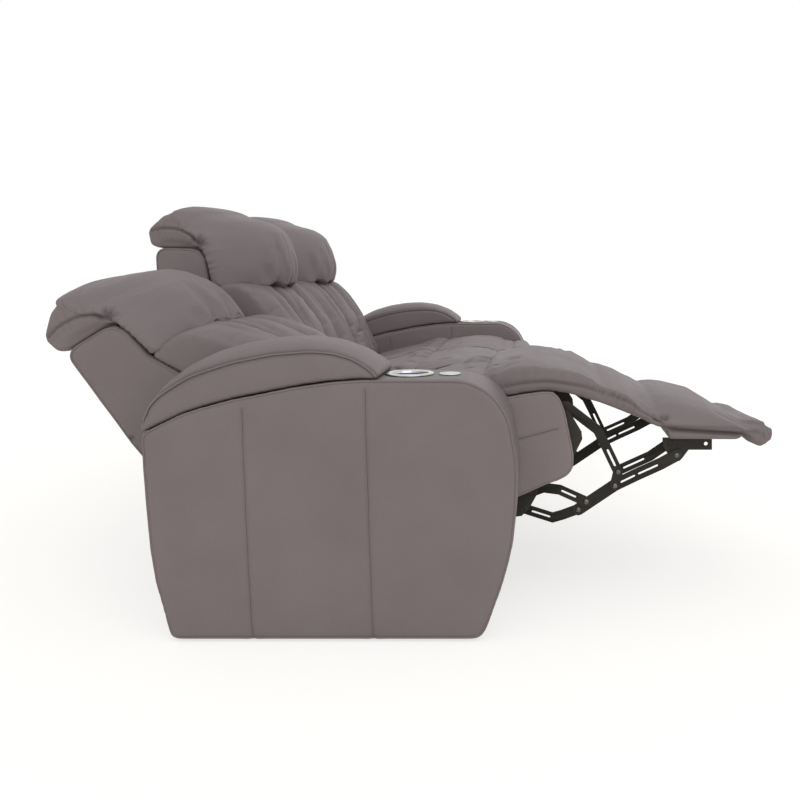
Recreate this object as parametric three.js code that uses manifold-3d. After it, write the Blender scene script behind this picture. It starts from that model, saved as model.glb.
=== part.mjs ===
// A home cinema sofa row: three padded seats between two storage arms. The two outer seats recline
// and carry a folding footrest, the middle one is fixed. The near seat is laid back with its
// footrest out, the far seat is upright with its footrest folded.
// Millimetres, +Z up. X runs across the row, the seats face -Y, and the origin is on the floor
// under the centre foot.
import * as THREE from 'three';
import { mergeVertices } from 'three/addons/utils/BufferGeometryUtils.js';
import Module from 'manifold-3d';

const wasm = await Module();
wasm.setup();

// Driving sizes of the row
const seatWidth = 582.7;
const armWidth = 205;
const uprightDepth = 1146;
const uprightHeight = 1025;

// Travel of an outer seat: it runs forward and up its rails while its back lies down
const slideRun = 250;
const slideRise = 30;
const reclineAngle = THREE.MathUtils.degToRad(33);
const foldAngle = THREE.MathUtils.degToRad(90);

// Gaps
const touchGap = 0.3;
const softGap = 0.4;
const lidGap = 0.9;

// How far a cover is drawn in between its corners, and the rounding of a board under leather
const lidDrawIn = 2;
const footDrawIn = 5;
const seatDrawIn = 6;
const chaiseDrawIn = 4;
const backDrawIn = 6;
const headDrawIn = 4;
const frontDrawIn = 3;
const boardEdge = 3;
const seatTuftDepth = 9;
const chaiseTuftDepth = 5;
const sideClearance = 3;
const boreGap = 0.3;
const overrun = 20;
const weld = 1;

// Outlines seen from the side. Each point is a share of the upright depth, forward of the origin,
// and a share of the upright height.
const armOutlineShares = [
  [-0.2976, 0.0059], [0.2801, 0.0059], [0.2914, 0.0107], [0.3002, 0.0263], [0.3141, 0.0702],
  [0.3281, 0.1112], [0.3429, 0.1649], [0.3525, 0.2107], [0.3595, 0.2829], [0.3621, 0.3415],
  [0.3604, 0.3902], [0.3543, 0.4254], [0.3482, 0.4654], [0.3368, 0.4937], [0.3220, 0.5171],
  [0.3072, 0.5337], [0.2897, 0.5463], [0.2705, 0.5561], [0.2478, 0.5620],
];
const lidSeatShares = [
  [0.0925, 0.5620], [0.0593, 0.5620], [0.0017, 0.5571], [-0.0750, 0.5444], [-0.1326, 0.5307],
  [-0.1902, 0.5180], [-0.2478, 0.5005], [-0.2853, 0.4868], [-0.3316, 0.4624],
];
const armRearShares = [
  [-0.3621, 0.4468], [-0.3621, 0.4312], [-0.3578, 0.3610], [-0.3517, 0.2829], [-0.3438, 0.1971],
  [-0.3325, 0.1268], [-0.3185, 0.0751], [-0.3045, 0.0146],
];
const lidCrownShares = [
  [-0.3621, 0.4741], [-0.3508, 0.5151], [-0.3264, 0.5541], [-0.2836, 0.5912], [-0.2417, 0.6146],
  [-0.1824, 0.6341], [-0.1187, 0.6459], [-0.0558, 0.6488], [0.0009, 0.6390], [0.0489, 0.6176],
  [0.0820, 0.5912], [0.0925, 0.5756],
];
const seatPanelShares = [
  [0.1361, 0.2263], [0.1658, 0.2410], [0.1981, 0.2576], [0.2295, 0.2693], [0.2469, 0.2810],
  [0.2574, 0.2976], [0.2583, 0.3288], [0.2522, 0.3639], [0.2400, 0.4302], [0.2286, 0.4634],
];
const deckTopShares = [
  [0.2147, 0.4780], [0.1867, 0.4780], [0.1449, 0.4712], [0.1065, 0.4634], [0.0663, 0.4556],
];
const cushionDeckShares = [
  [0.0663, 0.3635], [-0.2173, 0.3030],
];
const seatCushionTopShares = [
  [-0.2592, 0.3795], [-0.2530, 0.3995], [-0.2250, 0.4180], [-0.1789, 0.4293], [-0.1309, 0.4410],
  [-0.0611, 0.4546], [0.0000, 0.4683], [0.0436, 0.4800], [0.0620, 0.4780],
];
const chaiseTopShares = [
  [0.0663, 0.4868], [0.0960, 0.5024], [0.1265, 0.5180], [0.1571, 0.5278], [0.1867, 0.5327],
  [0.2164, 0.5317], [0.2461, 0.5249], [0.2723, 0.5141], [0.2967, 0.4985], [0.3106, 0.4810],
];
const chaiseBaseShares = [
  [0.0663, 0.4556], [0.0960, 0.4613], [0.1265, 0.4675], [0.1571, 0.4734], [0.1867, 0.4780],
  [0.2147, 0.4780], [0.2461, 0.4722], [0.2723, 0.4644], [0.2967, 0.4556], [0.3106, 0.4517],
];
const footTopShares = [
  [0.3848, 0.4741], [0.4145, 0.4732], [0.4450, 0.4654], [0.4887, 0.4527], [0.5323, 0.4400],
  [0.5716, 0.4283], [0.6065, 0.4166], [0.6370, 0.4029], [0.6623, 0.3893], [0.6824, 0.3785],
];
const footBaseShares = [
  [0.3848, 0.4195], [0.4084, 0.4088], [0.4311, 0.3951], [0.4625, 0.3854], [0.5105, 0.3854],
  [0.5585, 0.3854], [0.6108, 0.3844], [0.6300, 0.3629], [0.6597, 0.3571], [0.6806, 0.3668],
];
const backShellShares = [
  [-0.5716, 0.2976], [-0.5864, 0.3220], [-0.6213, 0.5854], [-0.6353, 0.8429], [-0.6274, 0.8576],
  [-0.6143, 0.8634], [-0.5375, 0.8615], [-0.5148, 0.8527], [-0.4991, 0.8273], [-0.4887, 0.7493],
  [-0.3307, 0.4146], [-0.3386, 0.3902],
];
const shellEarShares = [
  [-0.3386, 0.4020], [-0.3752, 0.3805], [-0.4538, 0.3434], [-0.3665, 0.3400],
];
const crownShares = [
  [0.3124, 0.4898], [0.3447, 0.4966], [0.3752, 0.4859],
];
const backFrontShares = [
  [-0.1972, 0.4410], [-0.2147, 0.4751], [-0.2470, 0.5424], [-0.2705, 0.6029], [-0.2967, 0.6478],
  [-0.3255, 0.6917], [-0.3578, 0.7278], [-0.3970, 0.7424],
];
const headTopShares = [
  [-0.6422, 0.8780], [-0.6518, 0.9073], [-0.6440, 0.9405], [-0.6161, 0.9688], [-0.5689, 0.9844],
  [-0.5131, 0.9805], [-0.4538, 0.9551], [-0.4014, 0.9171], [-0.3630, 0.8683], [-0.3447, 0.8156],
  [-0.3447, 0.7707], [-0.3560, 0.7483],
];
const headBaseShares = [
  [-0.6396, 0.8683], [-0.6265, 0.8659], [-0.6134, 0.8644], [-0.5829, 0.8637], [-0.5602, 0.8628],
  [-0.5375, 0.8620], [-0.5143, 0.8535], [-0.4984, 0.8275], [-0.4935, 0.7922], [-0.4885, 0.7540],
  [-0.4712, 0.7470], [-0.4151, 0.7450],
];
const plateShares = [
  [-0.3083, 0.3571], [-0.2941, 0.0850], [-0.0262, 0.1190], [0.1047, 0.1717], [0.1475, 0.1785],
  [0.1623, 0.1941], [0.1824, 0.2341], [0.1937, 0.3220], [0.2286, 0.3141], [0.2600, 0.3239],
  [0.2775, 0.3629], [0.2757, 0.3805], [0.2496, 0.4293], [0.2286, 0.4410], [0.2173, 0.4507],
  [0.1998, 0.4546], [0.1911, 0.4390], [0.1658, 0.3220], [0.1309, 0.2439], [0.0524, 0.2302],
  [-0.2400, 0.2302], [-0.2731, 0.3571],
];

// Pivots of an outer seat, as the same shares, with the seat upright and its footrest out
const pivotShares = {
  recline: [-0.2906, 0.3571],
  fold: [0.3787, 0.4693],
  upper: [0.2059, 0.4390],
  lower: [0.1475, 0.1941],
  stay: [0.1675, 0.2341],
  lowerEnd: [0.2688, 0.1912],
  crossEnd: [0.3473, 0.2498],
  braceEnd: [0.3543, 0.2829],
  bracePin: [0.4677, 0.3512],
  longPin: [0.4808, 0.3220],
  stayEnd: [0.2853, 0.2117],
};
const lowerBendShares = [[0.2138, 0.1707], [0.2356, 0.1776]];
const upperBendShares = [[0.2435, 0.4410], [0.3106, 0.3834], [0.3281, 0.3444]];
const longBendShares = [[0.3944, 0.2751], [0.4468, 0.3015]];
const braceBendShares = [[0.4241, 0.3180]];
const stayBendShares = [[0.1937, 0.2449], [0.2286, 0.2400]];

// Leather, steel and trim
const leather = new THREE.MeshStandardMaterial({ color: 0x817778, roughness: 0.5, metalness: 0 });
const darkLeather = new THREE.MeshStandardMaterial({ color: 0x776d6e, roughness: 0.55, metalness: 0 });
const blackSteel = new THREE.MeshStandardMaterial({ color: 0x201e1c, roughness: 0.4, metalness: 0.7 });
const chrome = new THREE.MeshStandardMaterial({ color: 0xd8d8d8, roughness: 0.12, metalness: 1 });
const paleMetal = new THREE.MeshStandardMaterial({ color: 0xb9bab6, roughness: 0.3, metalness: 0.9 });
const lampBlue = new THREE.MeshStandardMaterial({ color: 0x3a46c8, roughness: 0.3, metalness: 0 });

// Closed meshes become solids for a join or a cut, and come back as geometry
function toSolid(geometry) {
  const bare = geometry.clone();
  bare.deleteAttribute('normal');
  bare.deleteAttribute('uv');
  const merged = mergeVertices(bare);
  return new wasm.Manifold(new wasm.Mesh({
    numProp: 3,
    vertProperties: new Float32Array(merged.attributes.position.array),
    triVerts: new Uint32Array(merged.index.array),
  }));
}

function toGeometry(solid) {
  const mesh = solid.getMesh();
  const geometry = new THREE.BufferGeometry();
  geometry.setAttribute('position', new THREE.BufferAttribute(new Float32Array(mesh.vertProperties), 3));
  geometry.setIndex(new THREE.BufferAttribute(new Uint32Array(mesh.triVerts), 1));
  geometry.computeVertexNormals();
  return geometry;
}

function join(...geometries) {
  return toGeometry(geometries.map(toSolid).reduce((whole, next) => whole.add(next)));
}

function cut(geometry, ...tools) {
  return toGeometry(tools.map(toSolid).reduce((whole, tool) => whole.subtract(tool), toSolid(geometry)));
}

// A side point is [forward, up] in millimetres
const sidePoint = ([forward, up]) => [forward * uprightDepth, up * uprightHeight];
const sideLine = (shares) => shares.map(sidePoint);
const pivots = Object.fromEntries(
  Object.entries(pivotShares).map(([name, share]) => [name, sidePoint(share)]),
);
const raised = (points, amount) => points.map(([forward, up]) => [forward, up + amount]);
const pushed = (points, amount) => points.map(([forward, up]) => [forward + amount, up]);
const between = (a, b, share) => [a[0] + (b[0] - a[0]) * share, a[1] + (b[1] - a[1]) * share];

// A slab is a side outline given a width across the row
function slab(outline, xLow, xHigh, { holes = [], edge = 0, edgeSteps = 2 } = {}) {
  const flat = ([forward, up]) => new THREE.Vector2(-forward, up);
  const points = outline.map(flat);
  if (THREE.ShapeUtils.isClockWise(points)) points.reverse();
  const shape = new THREE.Shape(points);
  shape.holes = holes.map((hole) => new THREE.Path(hole.map(flat)));
  const geometry = new THREE.ExtrudeGeometry(shape, {
    depth: xHigh - xLow - 2 * edge,
    bevelEnabled: edge > 0,
    bevelThickness: edge,
    bevelSize: edge,
    bevelOffset: -edge,
    bevelSegments: edgeSteps,
    steps: 1,
  });
  geometry.translate(0, 0, xLow + edge);
  const turn = new THREE.Matrix4().makeBasis(
    new THREE.Vector3(0, 1, 0), new THREE.Vector3(0, 0, 1), new THREE.Vector3(1, 0, 0));
  return geometry.applyMatrix4(turn);
}

// A round outline about a side point. A bore is drawn outside its circle, a shaft inside it.
function ring([forward, up], radius, sides, outside = false) {
  const reach = outside ? radius / Math.cos(Math.PI / sides) : radius;
  return Array.from({ length: sides }, (unused, i) => {
    const angle = (2 * Math.PI * i) / sides;
    return [forward + reach * Math.cos(angle), up + reach * Math.sin(angle)];
  });
}

const shaft = (centre, radius, xLow, xHigh, sides = 12) => slab(ring(centre, radius, sides), xLow, xHigh);

// A block from its lowest to its highest corner, in forward, up and across
function block(forwardLow, forwardHigh, upLow, upHigh, xLow, xHigh) {
  const corners = [
    [forwardLow, upLow], [forwardHigh, upLow], [forwardHigh, upHigh], [forwardLow, upHigh],
  ];
  return slab(corners, xLow, xHigh);
}

// The outline of a flat bar along a bent line, with round ends
function barOutline(line, halfWidth, endSteps = 5) {
  const points = line.map(([forward, up]) => new THREE.Vector2(forward, up));
  const last = points.length - 1;
  const along = points.slice(1).map((point, i) => point.clone().sub(points[i]).normalize());
  const side = [];
  for (let i = 1; i < last; i += 1) {
    const before = new THREE.Vector2(-along[i - 1].y, along[i - 1].x);
    const after = new THREE.Vector2(-along[i].y, along[i].x);
    const middle = before.clone().add(after).normalize();
    side.push(middle.multiplyScalar(halfWidth / middle.dot(before)));
  }
  const outline = [];
  const end = (centre, from) => {
    for (let k = 0; k <= endSteps; k += 1) {
      const angle = from - (Math.PI * k) / endSteps;
      outline.push([centre.x + halfWidth * Math.cos(angle), centre.y + halfWidth * Math.sin(angle)]);
    }
  };
  end(points[last], along[last - 1].angle() + Math.PI / 2);
  for (let i = last - 1; i > 0; i -= 1) {
    outline.push([points[i].x - side[i - 1].x, points[i].y - side[i - 1].y]);
  }
  end(points[0], along[0].angle() - Math.PI / 2);
  for (let i = 1; i < last; i += 1) {
    outline.push([points[i].x + side[i - 1].x, points[i].y + side[i - 1].y]);
  }
  return outline;
}

// A slot pressed through a bar between two shares of one of its straight runs
const slotOutline = (a, b, fromShare, toShare, halfWidth) =>
  barOutline([between(a, b, fromShare), between(a, b, toShare)], halfWidth, 3);

// Soft pieces. A pad has a top line and a base line seen from the side, and swells between its
// sides: full in the middle, thin and drawn in at the edges, with sewn channels along it.
const padEdgeShares = [1, 0.94, 0.8, 0.55];
const crownPower = 3;
const edgePower = 14;

function padFullness(across, edgeShare) {
  return edgeShare + (1 - edgeShare) * Math.sqrt(1 - Math.abs(across) ** crownPower);
}

function pad(top, base, width, {
  edgeShare = 0.6, baseShare = 0.75, drawIn = 0,
  channelShares = [], channelDepth = 0, channelWidthShare = 0.06,
  tufts = [], tuftDepth = 0,
} = {}) {
  const sides = padEdgeShares.flatMap((share) => [-share, share]);
  const sewn = channelShares.flatMap((share) => [share - channelWidthShare, share, share + channelWidthShare]);
  const middle = channelShares.includes(0) ? [] : [0];
  const stations = [...new Set([...sides, ...middle, ...sewn])].sort((a, b) => a - b);
  const rows = top.length;
  const positions = [];
  for (const across of stations) {
    const fullTop = padFullness(across, edgeShare);
    const fullBase = 1 - (1 - baseShare) * Math.abs(across) ** edgePower;
    const sunk = channelShares.includes(across) ? channelDepth : 0;
    const line = [];
    for (let j = 0; j < rows; j += 1) {
      const middleForward = (top[j][0] + base[j][0]) / 2;
      const middleUp = (top[j][1] + base[j][1]) / 2;
      const out = new THREE.Vector2(top[j][0] - base[j][0], top[j][1] - base[j][1]);
      const thickness = out.length();
      out.divideScalar(thickness);
      const endFade = Math.sin((Math.PI * j) / (rows - 1)) ** 0.5;
      const tuft = tufts.some(([share, row]) => share === across && row === j) ? tuftDepth : 0;
      const reach = thickness * (fullTop - 0.5) - sunk * endFade - tuft;
      const back = (thickness / 2) * fullBase;
      const pull = drawIn * Math.sin((Math.PI * j) / (rows - 1)) * Math.abs(across) ** 3 * Math.sign(across);
      const x = (across * width) / 2 - pull;
      line.push([
        [x, -(middleForward + out.x * reach), middleUp + out.y * reach],
        [x, -(middleForward - out.x * back), middleUp - out.y * back],
      ]);
    }
    positions.push(...line.map((pair) => pair[0]), ...line.map((pair) => pair[1]).reverse());
  }
  const count = 2 * rows;
  const index = [];
  for (let s = 0; s < stations.length - 1; s += 1) {
    for (let j = 0; j < count; j += 1) {
      const a = s * count + j;
      const b = s * count + ((j + 1) % count);
      index.push(a, b, a + count, b, b + count, a + count);
    }
  }
  const lastStart = (stations.length - 1) * count;
  for (let j = 0; j < rows - 1; j += 1) {
    const [a, b, c, d] = [j, j + 1, count - 2 - j, count - 1 - j];
    index.push(a, c, b, a, d, c);
    index.push(lastStart + a, lastStart + b, lastStart + c, lastStart + a, lastStart + c, lastStart + d);
  }
  const geometry = new THREE.BufferGeometry();
  geometry.setAttribute('position', new THREE.BufferAttribute(new Float32Array(positions.flat()), 3));
  geometry.setIndex(index);
  if (signedVolume(geometry) < 0) {
    for (let i = 0; i < index.length; i += 3) [index[i], index[i + 1]] = [index[i + 1], index[i]];
    geometry.setIndex(index);
  }
  geometry.computeVertexNormals();
  return geometry;
}

function signedVolume(geometry) {
  const p = geometry.attributes.position;
  const corner = (i) => new THREE.Vector3().fromBufferAttribute(p, geometry.index.getX(i));
  let volume = 0;
  for (let i = 0; i < geometry.index.count; i += 3) volume += corner(i).dot(corner(i + 1).cross(corner(i + 2)));
  return volume;
}

// The scene graph
const sofa = new THREE.Group();

function place(parent, name, geometry, material) {
  const mesh = new THREE.Mesh(geometry, material);
  mesh.name = name;
  parent.add(mesh);
}

function moved(parent, x, forward, up) {
  const group = new THREE.Group();
  group.position.set(x, -forward, up);
  parent.add(group);
  return group;
}

// A group turned about an axis across the row; a positive angle lowers what lies forward of it
function turned(parent, [forward, up], angle) {
  const outer = moved(parent, 0, forward, up);
  outer.rotation.x = angle;
  return moved(outer, 0, -forward, -up);
}

// Widths inside a seat, as distances from its centre line
const halfSeat = seatWidth / 2;
const panelThickness = 18;
const plateThickness = 4;
const barThickness = 4;
const panelOuter = halfSeat - sideClearance;
const panelInner = panelOuter - panelThickness;
const plateOuter = panelInner - touchGap;
const plateInner = plateOuter - plateThickness;
const cushionWidth = 2 * panelOuter;

// The bars of the footrest linkage lie in layers inside the plate, the first one next to it
function barLayer(side, layer) {
  const outer = plateInner - touchGap - (layer - 1) * (barThickness + touchGap);
  const inner = outer - barThickness;
  return side > 0 ? [inner, outer] : [-outer, -inner];
}

function sideSpan(side, near, far) {
  return side > 0 ? [near, far] : [-far, -near];
}

// Steel base: two cross rails on feet, a centre beam, and a pair of sloping slide rails under
// each outer seat
const railSize = 40;
const rearRail = -0.30105 * uprightDepth;
const footHeight = 10;
const footRadius = 22;
const slideRailRear = -0.30541 * uprightDepth;
const slideRailLength = 0.51483 * uprightDepth;
const slideRailNose = 90;
const frontRail = slideRailRear + slideRailLength - slideRailNose;
const slideRailHeight = 24;
const slideRailRearTop = 0.07805 * uprightHeight;
const slideRailWidth = 15;
const slideSlope = slideRise / slideRun;
const slideTop = (forward) => slideRailRearTop + slideSlope * (forward - slideRailRear);
const railTop = footHeight + railSize;
const rowHalf = 1.5 * seatWidth;

function slideRail(side) {
  const front = slideRailRear + slideRailLength;
  const outline = [
    [slideRailRear, slideTop(slideRailRear) - slideRailHeight],
    [front, slideTop(front) - slideRailHeight],
    [front, slideTop(front)],
    [slideRailRear, slideTop(slideRailRear)],
  ];
  const span = sideSpan(side, panelOuter - slideRailWidth, panelOuter);
  const post = (rail) => block(rail, rail + railSize, railTop - weld, slideTop(rail) - slideRailHeight / 2, ...span);
  return [slab(outline, ...span), post(frontRail), post(rearRail)];
}

function baseFrame() {
  const length = rowHalf - touchGap;
  const beam = block(rearRail + weld, frontRail + railSize - weld, footHeight, railTop, -railSize / 2, railSize / 2);
  const parts = [
    block(frontRail, frontRail + railSize, footHeight, railTop, -length, length),
    block(rearRail, rearRail + railSize, footHeight, railTop, -length, length),
    beam,
  ];
  const feet = [[0, 0]];
  for (const x of [-halfSeat, halfSeat, footRadius - length, length - footRadius]) {
    for (const rail of [frontRail, rearRail]) feet.push([x, rail + railSize / 2]);
  }
  for (const [x, forward] of feet) {
    const foot = new THREE.CylinderGeometry(footRadius, footRadius * 0.85, footHeight + weld, 12);
    foot.rotateX(Math.PI / 2);
    parts.push(foot.translate(x, -forward, (footHeight + weld) / 2));
  }
  for (const seat of [-1, 1]) {
    for (const side of [-1, 1]) {
      parts.push(...slideRail(side).map((piece) => piece.translate(seat * seatWidth, 0, 0)));
    }
  }
  return join(...parts);
}

// Slide drive: a gear block and motor on the rear rail, and the tube that its rod runs in. The
// rod belongs to the seat frame.
const frontTube = [0, 0.15805 * uprightHeight];
const rearTube = [-0.26178 * uprightDepth, 0.19512 * uprightHeight];
const crossTubeRadius = 14;
const rodRadius = 8;
const rodLength = 300;
const driveTubeRadius = 17;
const driveTubeRear = -0.29668 * uprightDepth;
const driveTubeFront = -0.02094 * uprightDepth;
const driveBoreRadius = 9.5;
const gearBlockFront = -0.27051 * uprightDepth;
const gearBlockRear = -0.34468 * uprightDepth;
const gearBlockTop = 0.13854 * uprightHeight;
const gearBlockHalf = 30;
const driveMotorRadius = 24;
const driveMotorLength = 95;
const rodLine = (forward) => [forward, frontTube[1] + slideSlope * (forward - frontTube[0])];

// A round bar between two side points, in the middle of a seat
function rod(from, to, radius, sides = 12) {
  const a = new THREE.Vector3(0, -from[0], from[1]);
  const b = new THREE.Vector3(0, -to[0], to[1]);
  const bar = new THREE.CylinderGeometry(radius, radius, a.distanceTo(b), sides);
  const turn = new THREE.Quaternion().setFromUnitVectors(new THREE.Vector3(0, 1, 0), b.clone().sub(a).normalize());
  bar.applyQuaternion(turn);
  return bar.translate(...a.add(b).multiplyScalar(0.5).toArray());
}

function slideDrive() {
  const motorCentre = [(gearBlockRear + gearBlockFront) / 2, railTop + touchGap + driveMotorRadius + driveMotorRadius / 2];
  const body = join(
    block(gearBlockRear, gearBlockFront, railTop + touchGap, gearBlockTop, -gearBlockHalf, gearBlockHalf),
    rod(rodLine(driveTubeRear), rodLine(driveTubeFront), driveTubeRadius, 16),
    shaft(motorCentre, driveMotorRadius, gearBlockHalf - weld, gearBlockHalf + driveMotorLength, 16),
  );
  return cut(body, rod(rodLine(driveTubeRear + driveTubeRadius), rodLine(driveTubeFront + overrun), driveBoreRadius));
}

// Arm: a padded side panel with a storage bin under its lid, a bore for the cup holder and a
// round pocket for the control
const armEdge = 9;
const armInner = rowHalf;
const armOuter = rowHalf + armWidth;
const binFloor = 0.33171 * uprightHeight;
const binRear = -0.30541 * uprightDepth;
const binFront = 0.04538 * uprightDepth;
const binWidth = 135;
const cupCentre = 0.14136 * uprightDepth;
const controlCentre = 0.22251 * uprightDepth;
const cupRadius = 44;
const cupDepth = 72;
const cupFlange = 56;
const cupFlangeHeight = 5;
const cupWall = 2.5;
const lampWidth = 2.6;
const lampHeight = 4;
const controlRadius = 25;
const controlBody = 19;
const controlDepth = 20;
const controlHeight = 3.6;
const rockerLength = 26;
const rockerWidth = 17;
const rockerHeight = 5;
const rockerRise = 1.6;
const rockerGap = 0.8;
const glideRadius = 19;
const frontGlide = 0.26178 * uprightDepth;
const rearGlide = -0.27051 * uprightDepth;
const armTopHeight = armOutlineShares.at(-1)[1] * uprightHeight;

function upright(radius, low, high, x, forward, sides = 24, taper = 1) {
  const drum = new THREE.CylinderGeometry(radius, radius * taper, high - low, sides);
  drum.rotateX(Math.PI / 2);
  return drum.translate(x, -forward, (low + high) / 2);
}

// A bore down into the top of an arm, clear of what stands in it
function boreAt(forward, radius, depth, sides = 24) {
  const reach = (radius + touchGap) / Math.cos(Math.PI / sides);
  return upright(reach, armTopHeight - depth - touchGap, armTopHeight + overrun, 0, forward, sides);
}

function arm() {
  const outline = sideLine([...armOutlineShares, ...lidSeatShares, ...armRearShares]);
  const panel = slab(outline, -armWidth / 2, armWidth / 2, { edge: armEdge });
  const floor = armOutlineShares[0][1] * uprightHeight;
  const glides = [frontGlide, rearGlide].map(
    (forward) => upright(glideRadius, 0, floor + weld, 0, forward, 12, 0.9));
  return cut(
    join(panel, ...glides),
    block(binRear, binFront, binFloor, armTopHeight + overrun, -binWidth / 2, binWidth / 2),
    boreAt(cupCentre, cupRadius, cupDepth),
    boreAt(controlCentre, controlBody, controlDepth),
  );
}

// A turned piece from a profile of [radius, height], closed on the axis or on itself
function turnedPiece(profile, x, forward, sides = 24) {
  const points = profile.map(([radius, height]) => new THREE.Vector2(radius, height));
  const piece = new THREE.LatheGeometry(points, sides);
  piece.rotateX(Math.PI / 2);
  piece.translate(x, -forward, armTopHeight + touchGap);
  const solid = toSolid(piece);
  return solid.volume() > 0 ? toGeometry(solid) : piece;
}

function cupHolder() {
  const inner = cupRadius - cupWall;
  const lampStep = inner - lampWidth;
  const deep = touchGap + cupDepth;
  return turnedPiece([
    [0, -deep + touchGap], [cupRadius, -deep + touchGap], [cupRadius, 0], [cupFlange, 0],
    [cupFlange, cupFlangeHeight * 0.4], [cupFlange - cupFlangeHeight * 0.6, cupFlangeHeight],
    [inner, cupFlangeHeight], [inner, -lampHeight], [lampStep, -lampHeight],
    [lampStep, -deep + cupWall], [0, -deep + cupWall],
  ], 0, cupCentre);
}

function cupLamp() {
  const outer = cupRadius - cupWall - touchGap;
  const inner = outer - lampWidth;
  const low = touchGap - lampHeight;
  return turnedPiece([
    [inner, low], [outer, low], [outer, low + lampHeight], [inner, low + lampHeight], [inner, low],
  ], 0, cupCentre);
}

function controlPlate() {
  const disc = turnedPiece([
    [0, -controlDepth], [controlBody, -controlDepth], [controlBody, 0], [controlRadius, 0],
    [controlRadius, controlHeight * 0.4], [controlRadius - controlHeight * 0.6, controlHeight], [0, controlHeight],
  ], 0, controlCentre);
  const floor = armTopHeight + controlHeight + rockerRise - rockerHeight;
  return cut(disc, block(controlCentre - rockerLength / 2, controlCentre + rockerLength / 2, floor,
    armTopHeight + overrun, -rockerWidth / 2, rockerWidth / 2));
}

// The rocker tips about its middle, one end down to lie back and the other to sit up. Its
// underside falls away to both ends to leave room for that.
function rocker() {
  const half = rockerLength / 2 - rockerGap;
  const top = armTopHeight + touchGap + controlHeight + rockerRise;
  const low = top - rockerHeight;
  return slab([
    [controlCentre - half, low + rockerRise], [controlCentre, low], [controlCentre + half, low + rockerRise],
    [controlCentre + half, top], [controlCentre, top - rockerRise / 2], [controlCentre - half, top],
  ], rockerGap - rockerWidth / 2, rockerWidth / 2 - rockerGap);
}

// Lid hinge: a steel leaf on the arm's rear face, with a barrel that the lid turns about
const hingeRadius = 5;
const leafThickness = 2.6;
const leafHeight = 60;
const leafWidth = 130;
const [armRear, armRearTop] = sidePoint(armRearShares[0]);
const hingeAxis = [armRear - touchGap - hingeRadius, armRearTop + hingeRadius * 2];

function lidHinge() {
  const leafFront = hingeAxis[0] + hingeRadius;
  return join(
    shaft(hingeAxis, hingeRadius, -leafWidth / 2, leafWidth / 2),
    block(leafFront - leafThickness, leafFront, hingeAxis[1] - leafHeight, hingeAxis[1], -leafWidth / 2, leafWidth / 2),
  );
}

// The height of a line seen from the side, whose points run from front to rear
function heightOn(line, forward) {
  const i = Math.max(1, line.findIndex((point) => point[0] <= forward));
  return between(line[i - 1], line[i], (forward - line[i - 1][0]) / (line[i][0] - line[i - 1][0]))[1];
}

function lid() {
  const crown = sideLine(lidCrownShares);
  const seat = sideLine([...lidSeatShares, armRearShares[0]]);
  const base = crown.map(([forward]) => [forward, heightOn(seat, forward) + lidGap]);
  return pad(crown, base, armWidth, {
    edgeShare: 0.68, baseShare: 0.9, drawIn: lidDrawIn,
  });
}

for (const [name, side] of [['near', -1], ['far', 1]]) {
  const armGroup = moved(sofa, (side * (armInner + armOuter)) / 2, 0, 0);
  place(armGroup, `${name}_arm`, arm(), leather);
  place(armGroup, `${name}_arm_lid`, lid(), leather);
  place(armGroup, `${name}_lid_hinge`, lidHinge(), blackSteel);
  place(armGroup, `${name}_cup_holder`, cupHolder(), chrome);
  place(armGroup, `${name}_cup_lamp`, cupLamp(), lampBlue);
  place(armGroup, `${name}_control_plate`, controlPlate(), paleMetal);
  place(armGroup, `${name}_control_rocker`, rocker(), paleMetal);
}
place(sofa, 'base_frame', baseFrame(), blackSteel);

// Seat box: upholstered side panels joined by the deck boards that the cushions lie on
const deckThickness = 14;
const riserThickness = 14;
const boxLowEdge = 0.23415 * uprightHeight;
const boxRear = sidePoint(cushionDeckShares[1])[0];
const riserFront = sidePoint(deckTopShares.at(-1))[0];

function seatDeck() {
  const front = sideLine(deckTopShares);
  const rear = sideLine(cushionDeckShares);
  return [...front, ...rear];
}

function seatBox() {
  const panelOutline = [...sideLine(seatPanelShares), ...seatDeck(), [boxRear, boxLowEdge], [0, boxLowEdge]];
  const edging = { edge: boardEdge, edgeSteps: 1 };
  const panels = [-1, 1].map((side) => slab(panelOutline, ...sideSpan(side, panelInner, panelOuter), edging));
  const deckTop = seatDeck();
  const deckLow = raised(deckTop, -deckThickness).map(([forward, up], i) => (
    [forward + (i > 3 && i < 6 ? riserThickness : 0), up]));
  const deck = slab([...deckTop, ...deckLow.reverse()], -panelInner - weld, panelInner + weld);
  const rearBoard = block(boxRear, boxRear + riserThickness, boxLowEdge, sidePoint(cushionDeckShares[1])[1] - deckThickness / 2,
    -panelInner - weld, panelInner + weld);
  return join(...panels, deck, rearBoard);
}

// Seat frame: steel side plates with the pivots of the linkage, runners on the slide rails, cross
// tubes, the rod of the slide drive and the motor that folds the footrest
const runnerHeight = 12;
const runnerRear = -0.29494 * uprightDepth;
const runnerLength = 300;
const journalRadius = 7;
const hingePinRadius = 8;
const hingePinLength = 24;
const foldMotorRadius = 22;
const foldMotorLength = 92;
const foldMotorHeight = 0.16780 * uprightHeight;

function runner(side) {
  const front = runnerRear + runnerLength;
  const low = (forward) => slideTop(forward) + touchGap;
  const outline = [
    [runnerRear, low(runnerRear)], [front, low(front)],
    [front, low(front) + runnerHeight], [runnerRear, low(runnerRear) + runnerHeight],
  ];
  return slab(outline, ...sideSpan(side, plateInner, panelOuter));
}

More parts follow.
